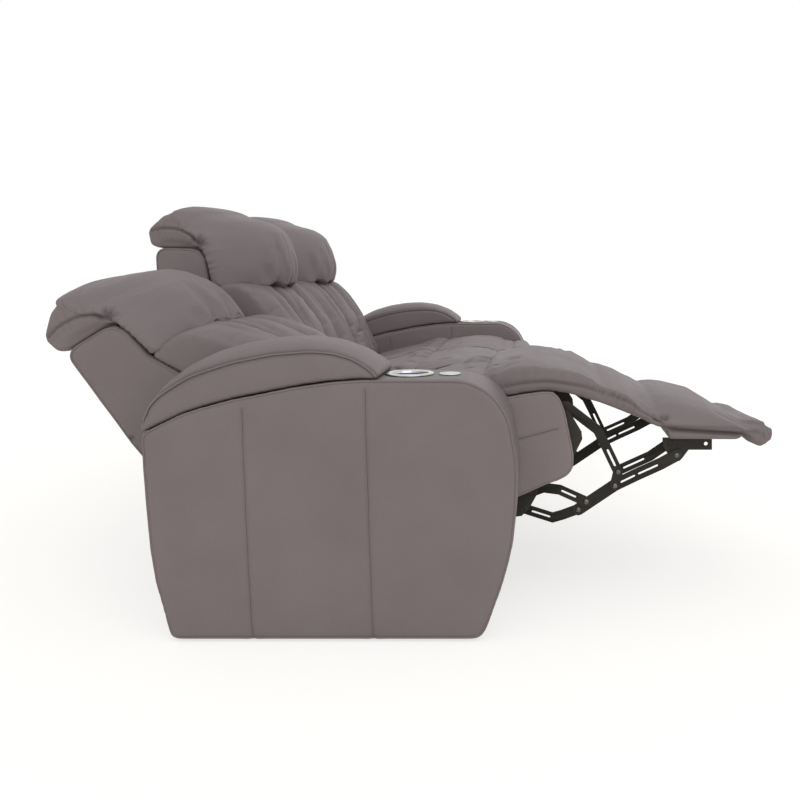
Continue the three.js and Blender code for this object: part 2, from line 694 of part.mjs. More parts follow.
function seatFrame() {
  const bore = (centre) => ring(centre, journalRadius + boreGap, 12, true);
  const parts = [];
  for (const side of [-1, 1]) {
    parts.push(slab(sideLine(plateShares), ...sideSpan(side, plateInner, plateOuter), {
      holes: [bore(pivots.upper), bore(pivots.lower), bore(pivots.stay)],
    }));
    parts.push(runner(side));
    parts.push(shaft(pivots.recline, hingePinRadius, ...sideSpan(side, plateInner - hingePinLength, plateOuter)));
  }
  const reach = plateInner + weld;
  parts.push(shaft(frontTube, crossTubeRadius, -reach, reach));
  parts.push(shaft(rearTube, crossTubeRadius, -reach, reach));
  parts.push(rod(frontTube, rodLine(frontTube[0] - rodLength), rodRadius));
  parts.push(rod([frontTube[0], foldMotorHeight], [frontTube[0] + crossTubeRadius + foldMotorLength, foldMotorHeight], foldMotorRadius, 16));
  return join(...parts);
}

// Linkage: bars of pressed steel with slots. Each turns about its pin by a fixed share of the
// footrest's fold.
const barHalf = 12;
const longBarHalf = 14.5;
const spareBoreRadius = 5;
const slotHalf = 2.6;
const torqueTubeRadius = 11;
const crankLength = 40;
const crankHalf = 10;

const spin = ([forward, up], [aboutForward, aboutUp], angle) => {
  const dx = forward - aboutForward;
  const dz = up - aboutUp;
  const c = Math.cos(angle);
  const s = Math.sin(angle);
  return [aboutForward + dx * c + dz * s, aboutUp - dx * s + dz * c];
};
const heading = (from, to) => Math.atan2(to[1] - from[1], to[0] - from[0]);
const distance = (a, b) => Math.hypot(b[0] - a[0], b[1] - a[1]);

// Where two circles meet, on the side of the first centre that is lower
function meeting(a, radiusA, b, radiusB) {
  const d = distance(a, b);
  const along = (radiusA ** 2 - radiusB ** 2 + d ** 2) / (2 * d);
  const off = Math.sqrt(Math.max(0, radiusA ** 2 - along ** 2));
  const unit = [(b[0] - a[0]) / d, (b[1] - a[1]) / d];
  const foot = [a[0] + unit[0] * along, a[1] + unit[1] * along];
  const sides = [1, -1].map((sign) => [foot[0] - sign * unit[1] * off, foot[1] + sign * unit[0] * off]);
  return sides[0][1] < sides[1][1] ? sides[0] : sides[1];
}

// The folded linkage follows from the folded pins, and with it how far each bar turns. The stay
// swings a little further, to clear the end of the upper arm.
const stayEase = THREE.MathUtils.degToRad(2.5);

function foldAngles() {
  const longPin = spin(pivots.longPin, pivots.fold, foldAngle);
  const bracePin = spin(pivots.bracePin, pivots.fold, foldAngle);
  const lowerReach = distance(pivots.lower, pivots.lowerEnd);
  const longReach = distance(pivots.longPin, pivots.lowerEnd);
  const lowerEnd = meeting(pivots.lower, lowerReach, longPin, longReach);
  const lower = heading(pivots.lower, pivots.lowerEnd) - heading(pivots.lower, lowerEnd);
  const long = heading(pivots.lowerEnd, pivots.longPin) - heading(lowerEnd, longPin);
  const shift = (point) => {
    const moved = spin(point, pivots.lowerEnd, long);
    return [moved[0] + lowerEnd[0] - pivots.lowerEnd[0], moved[1] + lowerEnd[1] - pivots.lowerEnd[1]];
  };
  const upper = heading(pivots.upper, pivots.crossEnd) - heading(pivots.upper, shift(pivots.crossEnd));
  const stay = heading(pivots.stay, pivots.stayEnd) - heading(pivots.stay, shift(pivots.stayEnd)) + stayEase;
  const braceEnd = spin(pivots.braceEnd, pivots.upper, upper);
  const brace = heading(pivots.braceEnd, pivots.bracePin) - heading(braceEnd, bracePin);
  return { lower, upper, stay, long: long - foldAngle, brace: brace - foldAngle };
}
const turns = foldAngles();

function bar(line, side, layer, { slots = [], holes = [], half = barHalf } = {}) {
  const pressed = slots.map(([run, from, to]) => slotOutline(line[run], line[run + 1], from, to, slotHalf));
  const round = holes.map((centre) => ring(centre, spareBoreRadius, 8));
  return slab(barOutline(line, half), ...barLayer(side, layer), { holes: [...pressed, ...round] });
}

const lowerLine = [pivots.lower, ...sideLine(lowerBendShares), pivots.lowerEnd];
const upperLine = [pivots.upper, ...sideLine(upperBendShares), pivots.braceEnd, pivots.crossEnd];
const longLine = [pivots.lowerEnd, pivots.crossEnd, ...sideLine(longBendShares), pivots.longPin];
const braceLine = [pivots.braceEnd, ...sideLine(braceBendShares), pivots.bracePin];
const stayLine = [pivots.stay, ...sideLine(stayBendShares), pivots.stayEnd];

// A pair of bars on one torque tube, whose ends turn in the seat plates
function barPair(line, pivot, layer, options) {
  const parts = [-1, 1].map((side) => bar(line, side, layer, options));
  const inner = barLayer(1, layer)[0] + weld;
  parts.push(shaft(pivot, torqueTubeRadius, -inner, inner));
  for (const side of [-1, 1]) parts.push(shaft(pivot, journalRadius, ...sideSpan(side, inner, plateOuter)));
  return parts;
}

function lowerArms() {
  const crankEnd = [pivots.lower[0] - crankLength * Math.SQRT1_2, pivots.lower[1] - crankLength * Math.SQRT1_2];
  const crank = slab(barOutline([pivots.lower, crankEnd], crankHalf), -barThickness, barThickness);
  return join(...barPair(lowerLine, pivots.lower, 3, { slots: [[0, 0.35, 0.9]], holes: [pivots.lowerEnd] }), crank);
}

function upperArms() {
  return join(...barPair(upperLine, pivots.upper, 1, { slots: [[3, 0.15, 0.75]], holes: [pivots.crossEnd] }));
}

// A single bar, with the pin that it turns on reaching from one layer into another
function pinnedBar(line, side, layer, pin, pinLayers, options) {
  const spans = pinLayers.map((each) => (each === 0 ? sideSpan(side, plateInner, plateOuter) : barLayer(side, each)));
  const low = Math.min(...spans.map((span) => span[0]));
  const high = Math.max(...spans.map((span) => span[1]));
  return join(bar(line, side, layer, options), shaft(pin, journalRadius, low, high));
}

const stayBar = (side) => pinnedBar(stayLine, side, 1, pivots.stay, [0, 1], { slots: [[2, 0.1, 0.6]] });
const longBar = (side) => pinnedBar(longLine, side, 2, pivots.longPin, [2, 3], {
  slots: [[1, 0.3, 0.9], [2, 0.1, 0.85]], holes: [pivots.lowerEnd, pivots.crossEnd], half: longBarHalf,
});
const braceBar = (side) => pinnedBar(braceLine, side, 4, pivots.bracePin, [4, 3], { slots: [[0, 0.2, 0.8]] });

// Footrest bracket: a drilled plate each side under the footrest, on one flat cross bar
const boardThickness = 0.02146 * uprightHeight;
const boardInset = 4;
const bracketTop = sidePoint(footBaseShares[4])[1] - boardThickness - touchGap;
const bracketRearReach = 34;
const bracketFrontReach = 88;
const bracketRear = pivots.longPin[0] - bracketRearReach;
const bracketFront = pivots.longPin[0] + bracketFrontReach;
const bracketHeight = 30;
const bracketLobe = 15;
const crossBarWidth = 42;
const crossBarThickness = 4;
const crossBarSetback = 12;

function footBracket() {
  const low = bracketTop - bracketHeight;
  const [pinForward, pinUp] = pivots.longPin;
  const outline = [
    [bracketRear, bracketTop], [bracketRear, low + bracketHeight / 3], [pinForward - bracketLobe, pinUp - bracketLobe / 2],
    [pinForward - bracketLobe / 2, pinUp - bracketLobe], [pinForward + bracketLobe / 2, pinUp - bracketLobe],
    [pinForward + bracketLobe, pinUp - bracketLobe / 2], [pinForward + 2 * bracketLobe, low],
    [bracketFront, low], [bracketFront, bracketTop],
  ];
  const bore = (centre) => ring(centre, journalRadius + boreGap, 12, true);
  const spare = [bracketFront - bracketLobe, (low + bracketTop) / 2];
  const plates = [-1, 1].map((side) => slab(outline, ...barLayer(side, 3), {
    holes: [bore(pivots.longPin), bore(pivots.bracePin), ring(spare, spareBoreRadius, 8)],
  }));
  const inner = barLayer(1, 3)[0] + weld;
  const barFront = bracketFront - crossBarSetback;
  const crossBar = block(barFront - crossBarWidth, barFront, bracketTop - crossBarThickness, bracketTop, -inner, inner);
  return join(...plates, crossBar);
}

// Footrest: a leather-wrapped board on the bracket, and the pad on the board
const boardRear = sidePoint(footBaseShares[3])[0] - boardInset;
const boardFront = sidePoint(footBaseShares[6])[0] + boardInset / 2;

function footrestPad() {
  const boardHalf = cushionWidth / 2 - boardInset;
  const boardTop = bracketTop + touchGap + boardThickness + boardInset;
  const board = block(boardRear, boardFront, bracketTop + touchGap, boardTop, -boardHalf, boardHalf);
  const softPad = pad(sideLine(footTopShares), sideLine(footBaseShares), cushionWidth, {
    edgeShare: 0.4, baseShare: 0.92, drawIn: footDrawIn,
  });
  return join(softPad, board);
}

// Cushions. The seat cushion's tail lies under the back cushion, so that no gap opens there when
// the back lies down.
const tailLift = 0.04683 * uprightHeight;

const cushionSetback = 4;

function seatCushion() {
  const top = sideLine(seatCushionTopShares);
  const deck = sideLine(cushionDeckShares).reverse();
  const rows = top.length - 1;
  const frontEdge = riserFront - cushionSetback;
  const base = top.map((unused, j) => {
    const forward = top[0][0] + ((frontEdge - top[0][0]) * j) / rows;
    const share = (forward - deck[0][0]) / (deck[1][0] - deck[0][0]);
    return [forward, between(deck[0], deck[1], share)[1] + softGap + (j === 0 ? tailLift : 0)];
  });
  return pad(top, base, cushionWidth, {
    edgeShare: 0.72, baseShare: 0.95, drawIn: seatDrawIn,
    tufts: [[-0.55, 6], [0, 6], [0.55, 6], [0, 4]], tuftDepth: seatTuftDepth,
  });
}

function chaisePad() {
  return pad(sideLine(chaiseTopShares), raised(sideLine(chaiseBaseShares), softGap), cushionWidth, {
    edgeShare: 0.85, baseShare: 0.95, drawIn: chaiseDrawIn,
    tufts: [[-0.55, 4], [0.55, 4]], tuftDepth: chaiseTuftDepth,
  });
}

// Flap: the bridge of the pad over the fold, straight with the footrest out and bent with it in
const flapKnee = 26;
const flapRows = 5;

function padFlap(folded) {
  const rear = [sidePoint(chaiseTopShares.at(-1)), sidePoint(chaiseBaseShares.at(-1))];
  rear[1] = [rear[1][0], rear[1][1] + softGap];
  let front = [sidePoint(footTopShares[0]), sidePoint(footBaseShares[0])];
  if (folded) front = front.map((point) => spin(point, pivots.fold, foldAngle));
  const rearGap = rear.map(([forward, up]) => [forward + softGap, up]);
  const frontGap = front.map(([forward, up]) => (folded ? [forward, up + softGap] : [forward - softGap, up]));
  const knee = folded ? [0.25, 0.9] : [0, 0];
  const [top, base] = [0, 1].map((k) => Array.from({ length: flapRows }, (unused, j) => {
    const share = j / (flapRows - 1);
    const [forward, up] = between(rearGap[k], frontGap[k], share);
    const bulge = Math.sin(Math.PI * share) * flapKnee * (k === 0 ? 1 : 0.35);
    return [forward + bulge * knee[0], up + bulge * knee[1]];
  }));
  return pad(top, base, cushionWidth, { edgeShare: 0.7, baseShare: 0.92, drawIn: chaiseDrawIn });
}

const backChannelShares = [-0.34, 0.34];
const backChannelDepth = 12;
const cushionReachShare = 0.985;

function backCushion() {
  const front = sideLine(backFrontShares);
  const [shellTop, shellFoot] = sideLine(backShellShares.slice(-3, -1));
  const base = front.map((unused, j) => {
    const [forward, up] = between(shellFoot, shellTop, (cushionReachShare * j) / (front.length - 1));
    return [forward + softGap, up + softGap];
  });
  return pad(front, base, cushionWidth, {
    edgeShare: 0.8, baseShare: 0.9, drawIn: backDrawIn, channelShares: backChannelShares,
    channelDepth: backChannelDepth, channelWidthShare: 0.09,
  });
}

function headrest() {
  return pad(sideLine(headTopShares), raised(pushed(sideLine(headBaseShares), softGap), softGap), cushionWidth, {
    edgeShare: 0.74, baseShare: 0.9, drawIn: headDrawIn,
  });
}

// Back shell: a padded panel whose foot carries the knuckles of the recline hinge
const shellEdge = 6;
const knuckleRadius = 22;
const knuckleClearance = 2;

function backShell() {
  const knuckleHalf = plateInner - knuckleClearance;
  const body = slab(sideLine(backShellShares), -panelOuter, panelOuter, { edge: shellEdge, edgeSteps: 1 });
  const [hingeForward, hingeUp] = pivots.recline;
  const ear = [
    ...sideLine(shellEarShares),
    [hingeForward, hingeUp - knuckleRadius], [hingeForward + knuckleRadius * 0.7, hingeUp - knuckleRadius * 0.7],
    [hingeForward + knuckleRadius, hingeUp], [hingeForward + knuckleRadius * 0.7, hingeUp + knuckleRadius * 0.7],
    [hingeForward, hingeUp + knuckleRadius],
  ];
  const foot = slab(ear, -knuckleHalf, knuckleHalf);
  const bores = [-1, 1].map((side) => slab(
    ring(pivots.recline, hingePinRadius + boreGap, 12, true),
    ...sideSpan(side, plateInner - hingePinLength - knuckleClearance, plateInner + overrun),
  ));
  return cut(join(body, foot), ...bores);
}

// An outer seat: the frame runs on the rails, the back turns on the frame, and the footrest and
// its linkage fold under the seat
function recliner(name, x, laidBack) {
  const seat = moved(sofa, x, laidBack ? slideRun : 0, laidBack ? slideRise : 0);
  const back = turned(seat, pivots.recline, laidBack ? -reclineAngle : 0);
  const fold = (pivot, angle, parent = seat) => turned(parent, pivot, laidBack ? 0 : angle);
  const footrest = fold(pivots.fold, foldAngle);
  place(moved(sofa, x, 0, 0), `${name}_slide_drive`, slideDrive(), blackSteel);
  place(seat, `${name}_seat_frame`, seatFrame(), blackSteel);
  place(seat, `${name}_seat_box`, seatBox(), darkLeather);
  place(seat, `${name}_seat_cushion`, seatCushion(), leather);
  place(seat, `${name}_chaise_pad`, chaisePad(), leather);
  place(seat, `${name}_pad_flap`, padFlap(!laidBack), leather);
  place(back, `${name}_back_shell`, backShell(), leather);
  place(back, `${name}_back_cushion`, backCushion(), leather);
  place(back, `${name}_headrest`, headrest(), leather);
  place(footrest, `${name}_footrest_pad`, footrestPad(), leather);
  place(footrest, `${name}_footrest_bracket`, footBracket(), blackSteel);
  place(fold(pivots.lower, turns.lower), `${name}_lower_arms`, lowerArms(), blackSteel);
  place(fold(pivots.upper, turns.upper), `${name}_upper_arms`, upperArms(), blackSteel);
  for (const [hand, side] of [['left', -1], ['right', 1]]) {
    place(fold(pivots.stay, turns.stay), `${name}_stay_bar_${hand}`, stayBar(side), blackSteel);
    place(fold(pivots.longPin, turns.long, footrest), `${name}_long_bar_${hand}`, longBar(side), blackSteel);
    place(fold(pivots.bracePin, turns.brace, footrest), `${name}_brace_bar_${hand}`, braceBar(side), blackSteel);
  }
}

recliner('near', -seatWidth, true);
recliner('far', seatWidth, false);

// The middle seat: a closed box with a padded front panel, cushions and a fixed back
const middleRear = -0.27051 * uprightDepth;
const shoulderRear = -0.41012 * uprightDepth;
const deckRunOn = 1.03;
const boxTailLow = 0.33756 * uprightHeight;
const boxTailHigh = 0.37659 * uprightHeight;

function middleBox() {
  const tail = sidePoint(seatCushionTopShares[0])[0] - 2 * softGap;
  const shellFoot = [sidePoint(backShellShares[0]), sidePoint(backShellShares.at(-1))];
  const underShell = (forward) => {
    const share = (forward - shellFoot[0][0]) / (shellFoot[1][0] - shellFoot[0][0]);
    return [forward, between(shellFoot[0], shellFoot[1], share)[1] - 2 * touchGap];
  };
  const front = sideLine(seatPanelShares).slice(5);
  const outline = [
    [middleRear, railTop + touchGap], [front[0][0], railTop + touchGap], ...front, ...seatDeck(),
    between(...sideLine(cushionDeckShares), deckRunOn), [tail, boxTailLow], [tail, boxTailHigh],
    underShell(shellFoot[1][0] - shellEdge), underShell(shoulderRear), [shoulderRear, pivots.recline[1] - overrun],
  ];
  return slab(outline, -panelOuter, panelOuter, { edge: boardEdge, edgeSteps: 1 });
}

// The middle seat's front panel has the shape of a folded footrest, crown and all. Its rear face
// steps under the front of the pad above it.
const stepDrop = 3;

function middleFront() {
  const rear = sidePoint(seatPanelShares[6])[0] + 3 * touchGap;
  const [padFront, padLow] = sidePoint(chaiseBaseShares.at(-1));
  const crown = sideLine(crownShares);
  const face = sideLine(footTopShares).slice(0, -1).map((point) => spin(point, pivots.fold, foldAngle));
  const step = [[padFront + 2 * touchGap, padLow], [padFront - touchGap, padLow - stepDrop]];
  const underPad = [between(step[1], [rear, face[1][1]], 0.4), between(step[1], [rear, face[1][1]], 0.7)];
  const base = [...step, ...underPad, ...face.slice(1).map(([, up]) => [rear, up])];
  return pad([...crown, ...face], base, cushionWidth, { edgeShare: 0.72, baseShare: 1, drawIn: frontDrawIn });
}

const middle = moved(sofa, 0, 0, 0);
place(middle, 'middle_seat_box', middleBox(), darkLeather);
place(middle, 'middle_seat_cushion', seatCushion(), leather);
place(middle, 'middle_chaise_pad', chaisePad(), leather);
place(middle, 'middle_front_panel', middleFront(), leather);
place(middle, 'middle_back_shell', slab(sideLine(backShellShares), -panelOuter, panelOuter, { edge: shellEdge, edgeSteps: 1 }), leather);
place(middle, 'middle_back_cushion', backCushion(), leather);
place(middle, 'middle_headrest', headrest(), leather);

export default sofa;
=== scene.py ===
# A cinema sofa row of three leather places between two storage arms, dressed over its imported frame.
# Metres, Z up. X runs across the row and the seats face -Y. The near seat is laid back with its
# footrest out, the middle seat is fixed, and the far seat is upright with its footrest folded.
from math import cos, pi, radians, sin

import bmesh
import bpy
import numpy as np
from mathutils import Matrix, Vector
from mathutils.bvhtree import BVHTree


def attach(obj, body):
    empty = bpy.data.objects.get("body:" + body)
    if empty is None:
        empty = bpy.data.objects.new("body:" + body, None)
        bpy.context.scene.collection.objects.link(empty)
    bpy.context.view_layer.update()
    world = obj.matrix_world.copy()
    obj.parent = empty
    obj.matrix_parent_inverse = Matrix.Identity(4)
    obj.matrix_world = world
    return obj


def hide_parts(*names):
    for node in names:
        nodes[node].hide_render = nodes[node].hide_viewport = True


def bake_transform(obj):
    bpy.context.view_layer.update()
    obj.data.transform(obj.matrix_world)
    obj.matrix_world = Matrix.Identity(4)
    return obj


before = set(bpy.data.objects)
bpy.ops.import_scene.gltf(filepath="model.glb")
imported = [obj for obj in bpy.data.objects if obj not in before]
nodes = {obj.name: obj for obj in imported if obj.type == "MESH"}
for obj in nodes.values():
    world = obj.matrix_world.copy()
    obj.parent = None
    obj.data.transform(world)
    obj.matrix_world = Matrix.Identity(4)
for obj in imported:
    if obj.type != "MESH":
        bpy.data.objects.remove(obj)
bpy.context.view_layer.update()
scene = bpy.context.scene

# Camera: level, at the near end of the row and a little forward of the arms.
# The frame is shifted down and back instead of the camera being tilted.
camera_data = bpy.data.cameras.new("camera")
camera_data.lens = 39.5
camera_data.sensor_width = 36
camera_data.shift_x = -0.171
camera_data.shift_y = -0.166
camera_data.clip_end = 100
camera = bpy.data.objects.new("camera", camera_data)
camera.location = (-3.009, -0.456, 0.824)
camera.rotation_euler = (radians(90), 0, radians(-90))
scene.collection.objects.link(camera)
scene.camera = camera
scene.view_settings.view_transform = "Standard"


def wired(tree, kind, inputs=(), **settings):
    """A node of this kind, with its settings made and its sockets set or linked."""
    made = tree.nodes.new(kind)
    for setting, value in settings.items():
        setattr(made, setting, value)
    for socket, value in dict(inputs).items():
        if isinstance(value, bpy.types.NodeSocket):
            tree.links.new(value, made.inputs[socket])
        else:
            made.inputs[socket].default_value = value
    return made


def sum_of(tree, first, second):
    """Two values added, and held at one."""
    return wired(tree, "ShaderNodeMath", {0: first, 1: second}, use_clamp=True).outputs[0]


def product_of(tree, first, second):
    """Two values multiplied."""
    return wired(tree, "ShaderNodeMath", {0: first, 1: second}, operation="MULTIPLY").outputs[0]


def seen_directly(tree):
    """One for what the camera, a reflection or a clear surface looks straight at, and else zero."""
    rays = wired(tree, "ShaderNodeLightPath").outputs
    seen_or_mirrored = sum_of(tree, rays["Is Camera Ray"], rays["Is Glossy Ray"])
    return sum_of(tree, seen_or_mirrored, rays["Is Transmission Ray"])


# Studio: an even white room with a faint lamp overhead and a stronger one from the camera's side.
# Both lamps are broad, so that shadows have soft edges.
world = bpy.data.worlds.new("studio")
world.use_nodes = True
scene.world = world
room = world.node_tree
room.nodes.clear()
room_light = 0.75
room_glow = wired(room, "ShaderNodeBackground", {"Color": (1, 0.99, 0.98, 1), "Strength": room_light})
room_white = wired(room, "ShaderNodeBackground", {"Color": (1, 1, 1, 1), "Strength": 1})
room_mix = wired(room, "ShaderNodeMixShader", {0: seen_directly(room), 1: room_glow.outputs[0],
                                               2: room_white.outputs[0]})
wired(room, "ShaderNodeOutputWorld", {"Surface": room_mix.outputs[0]})

for lamp_name, strength, spread, turn in (
    ("overhead_lamp", 0.12, 70, (radians(-18), radians(-12), 0)),
    ("side_lamp", 0.8, 60, (radians(58), 0, radians(-62))),
):
    lamp_data = bpy.data.lights.new(lamp_name, "SUN")
    lamp_data.energy = strength
    lamp_data.angle = radians(spread)
    lamp = bpy.data.objects.new(lamp_name, lamp_data)
    lamp.rotation_euler = turn
    scene.collection.objects.link(lamp)

# Floor: a board in a pale warm white. It keeps the soft shadow of the sofa, and to the camera it glows
# a little, so that it reads as white where nothing shades it.
floor_half = 30
floor_paint = (0.96, 0.915, 0.85, 1)
floor_glow = 1.2
glow_share = 0.58
floor_mesh = bpy.data.meshes.new("floor")
floor_corners = [(-floor_half, -floor_half, 0), (floor_half, -floor_half, 0),
                 (floor_half, floor_half, 0), (-floor_half, floor_half, 0)]
floor_mesh.from_pydata(floor_corners, [], [(0, 1, 2, 3)])
floor_material = bpy.data.materials.new("pale_floor")
floor_material.use_nodes = True
floor_tree = floor_material.node_tree
floor_tree.nodes.clear()
board = wired(floor_tree, "ShaderNodeBsdfDiffuse", {"Color": floor_paint})
glow = wired(floor_tree, "ShaderNodeEmission", {"Color": (1, 1, 1, 1), "Strength": floor_glow})
glow_seen = product_of(floor_tree, seen_directly(floor_tree), glow_share)
floor_mix = wired(floor_tree, "ShaderNodeMixShader", {0: glow_seen, 1: board.outputs[0], 2: glow.outputs[0]})
wired(floor_tree, "ShaderNodeOutputMaterial", {"Surface": floor_mix.outputs[0]})
floor_mesh.materials.append(floor_material)
floor = bpy.data.objects.new("floor", floor_mesh)
scene.collection.objects.link(floor)

# Steel base, seat frames and footrest linkage: pressed and welded steel under black powder coat,
# rubbed bare along its edges. Their shapes are the frame's own.


def value_group(name, inputs, outputs):
    """A shader node group that takes and gives plain values."""
    group = bpy.data.node_groups.new(name, "ShaderNodeTree")
    for socket, default in inputs.items():
        made = group.interface.new_socket(socket, in_out="INPUT", socket_type="NodeSocketFloat")
        made.default_value = default
    for socket in outputs:
        group.interface.new_socket(socket, in_out="OUTPUT", socket_type="NodeSocketFloat")
    return group, group.nodes.new("NodeGroupInput").outputs, group.nodes.new("NodeGroupOutput").inputs


def clouds(tree, place, scale, detail=2.0):
    """A noise that is fixed to the piece's own coordinates."""
    return wired(tree, "ShaderNodeTexNoise", {"Vector": place.outputs["Object"], "Scale": scale,
                                              "Detail": detail}).outputs["Fac"]


def stretched(tree, value, low, high, to_low=0.0, to_high=1.0):
    """A value read from one range into another, and held inside it."""
    return wired(tree, "ShaderNodeMapRange", {"Value": value, "From Min": low, "From Max": high,
                                              "To Min": to_low, "To Max": to_high}).outputs[0]


def between(tree, share, first, second):
    """A colour on the way from the first to the second."""
    return wired(tree, "ShaderNodeMix", {0: share, 6: first, 7: second}, data_type="RGBA").outputs[2]


# Dust and rub marks, as two masks that change over a surface
marks, marks_in, marks_out = value_group("rub_marks", {"Marks per metre": 40, "Amount": 0.5}, ["Rub", "Dust"])
marks_place = wired(marks, "ShaderNodeTexCoord")
rubbed = stretched(marks, clouds(marks, marks_place, marks_in["Marks per metre"], 5.0), 0.5, 0.72)
marks.links.new(product_of(marks, rubbed, marks_in["Amount"]), marks_out["Rub"])
marks.links.new(clouds(marks, marks_place, 9.0, 6.0), marks_out["Dust"])


def new_material(name):
    """An empty material, its node tree and its one shader."""
    material = bpy.data.materials.new(name)
    material.use_nodes = True
    tree = material.node_tree
    tree.nodes.clear()
    shader = wired(tree, "ShaderNodeBsdfPrincipled")
    wired(tree, "ShaderNodeOutputMaterial", {"Surface": shader.outputs[0]})
    return material, tree, shader


def metal_finish(name, coat, bare, rough, metallic, edge_wear, marks_per_metre=40, amount=0.5, grain=900,
                 specular=0.5):
    """Coated or plated metal, rubbed bare on its edges, with dust in its gloss and a fine peel."""
    material, tree, shader = new_material(name)
    shader.inputs["Specular IOR Level"].default_value = specular
    shader.inputs["Metallic"].default_value = metallic
    mask = wired(tree, "ShaderNodeGroup", node_tree=marks)
    mask.inputs["Marks per metre"].default_value = marks_per_metre
    mask.inputs["Amount"].default_value = amount
    shape = wired(tree, "ShaderNodeNewGeometry")
    edge = stretched(tree, shape.outputs["Pointiness"], 0.52, 0.62, to_high=edge_wear)
    worn = sum_of(tree, edge, mask.outputs["Rub"])
    tree.links.new(between(tree, worn, coat, bare), shader.inputs["Base Color"])
    gloss = stretched(tree, mask.outputs["Dust"], 0.3, 0.7, rough * 0.8, rough * 1.25)
    tree.links.new(gloss, shader.inputs["Roughness"])
    peel = clouds(tree, wired(tree, "ShaderNodeTexCoord"), grain)
    bump = wired(tree, "ShaderNodeBump", {"Height": peel, "Strength": 0.25, "Distance": 0.0002})
    tree.links.new(bump.outputs[0], shader.inputs["Normal"])
    return material


black_steel = metal_finish("black_steel", (0.008, 0.0072, 0.006, 1), (0.10, 0.09, 0.075, 1), 0.42, 0.0, 0.4,
                           amount=0.04, specular=0.16)
linkage_nodes = ["lower_arms", "upper_arms", "stay_bar_left", "stay_bar_right", "long_bar_left",
                 "long_bar_right", "brace_bar_left", "brace_bar_right", "footrest_bracket", "seat_frame",
                 "slide_drive"]
steel_nodes = ["base_frame"] + [f"{seat}_{part}" for seat in ("near", "far") for part in linkage_nodes]
for steel_node in steel_nodes:
    nodes[steel_node].data.materials.clear()
    nodes[steel_node].data.materials.append(black_steel)

# Arms: foam over a board frame in taupe leather, with a lined storage bin under the lid. Each side
# panel is joined by two double-stitched seams and piped along its outline. They stand on glides.


def cad_copy(name, sources, back_to=None):
    """A merged copy of CAD nodes, moved by back_to into the place where it is worked on."""
    shape = bmesh.new()
    for source in sources:
        shape.from_mesh(nodes[source].data)
    bmesh.ops.remove_doubles(shape, verts=shape.verts, dist=0.00002)
    mesh = bpy.data.meshes.new(name)
    shape.to_mesh(mesh)
    shape.free()
    if back_to is not None:
        mesh.transform(back_to)
    mesh.materials.clear()
    return mesh


def on_carrier(mesh):
    """An object that holds the mesh while modifiers work on it."""
    carrier = bpy.data.objects.new("carrier", mesh)
    scene.collection.objects.link(carrier)
    return carrier


def taken_off(carrier):
    """The plain mesh that a carrier's modifiers make. The carrier goes."""
    mesh = bpy.data.meshes.new_from_object(carrier.evaluated_get(bpy.context.evaluated_depsgraph_get()))
    bpy.data.objects.remove(carrier)
    return mesh


def with_modifiers(mesh, steps):
    """The mesh after a list of (kind, settings) modifiers."""
    carrier = on_carrier(mesh)
    for kind, settings in steps:
        modifier = carrier.modifiers.new(kind.lower(), kind)
        for setting, value in settings.items():
            setattr(modifier, setting, value)
    return taken_off(carrier)


def padded_over(mesh, voxel, smoothing, fuller=0.0):
    """An evenly woven cover over a solid. Fuller pushes it out by that many metres."""
    return with_modifiers(mesh, [
        ("REMESH", {"mode": "VOXEL", "voxel_size": voxel, "use_smooth_shade": True}),
        ("SMOOTH", {"factor": 0.5, "iterations": smoothing}),
        ("DISPLACE", {"strength": fuller, "mid_level": 0.0}),
    ])


def side(forward, up, across=0.0):
    """A point of a seat or arm, from millimetres forward, up and across from its middle."""
    return np.array((across, -forward, up)) / 1000


def smooth_line(points, spacing=0.006, closed=False):
    """A line through the points, evenly spaced and eased round its corners."""
    points = np.array(points, float)
    if closed:
        points = np.vstack([points, points[:1]])
    lengths = np.linalg.norm(np.diff(points, axis=0), axis=1)
    run = np.concatenate([[0], np.cumsum(lengths)])
    count = max(3, int(run[-1] / spacing) + 1)
    wanted = np.linspace(0, run[-1], count)
    line = np.column_stack([np.interp(wanted, run, points[:, axis]) for axis in range(3)])
    for _ in range(6):
        if closed:
            body = line[:-1]
            body = (np.roll(body, 1, axis=0) + 2 * body + np.roll(body, -1, axis=0)) / 4
            line = np.vstack([body, body[:1]])
        else:
            line[1:-1] = (line[:-2] + 2 * line[1:-1] + line[2:]) / 4
    return line


def coordinates(mesh):
    """The points of a mesh, as rows of X, Y and Z."""
    points = np.empty(len(mesh.vertices) * 3)
    mesh.vertices.foreach_get("co", points)
    return points.reshape(-1, 3)


def set_coordinates(mesh, points):
    """Puts a mesh's points where these rows say."""
    mesh.vertices.foreach_set("co", points.ravel())
    mesh.update()


def surface_of(mesh):
    """A finder of the nearest spot on the mesh's faces."""
    points = [Vector(point) for point in coordinates(mesh)]
    return BVHTree.FromPolygons(points, [tuple(face.vertices) for face in mesh.polygons])


def ramp(value, start, end):
    """Zero up to start, one from end on, and even between them."""
    return np.clip((value - start) / (end - start), 0, 1)


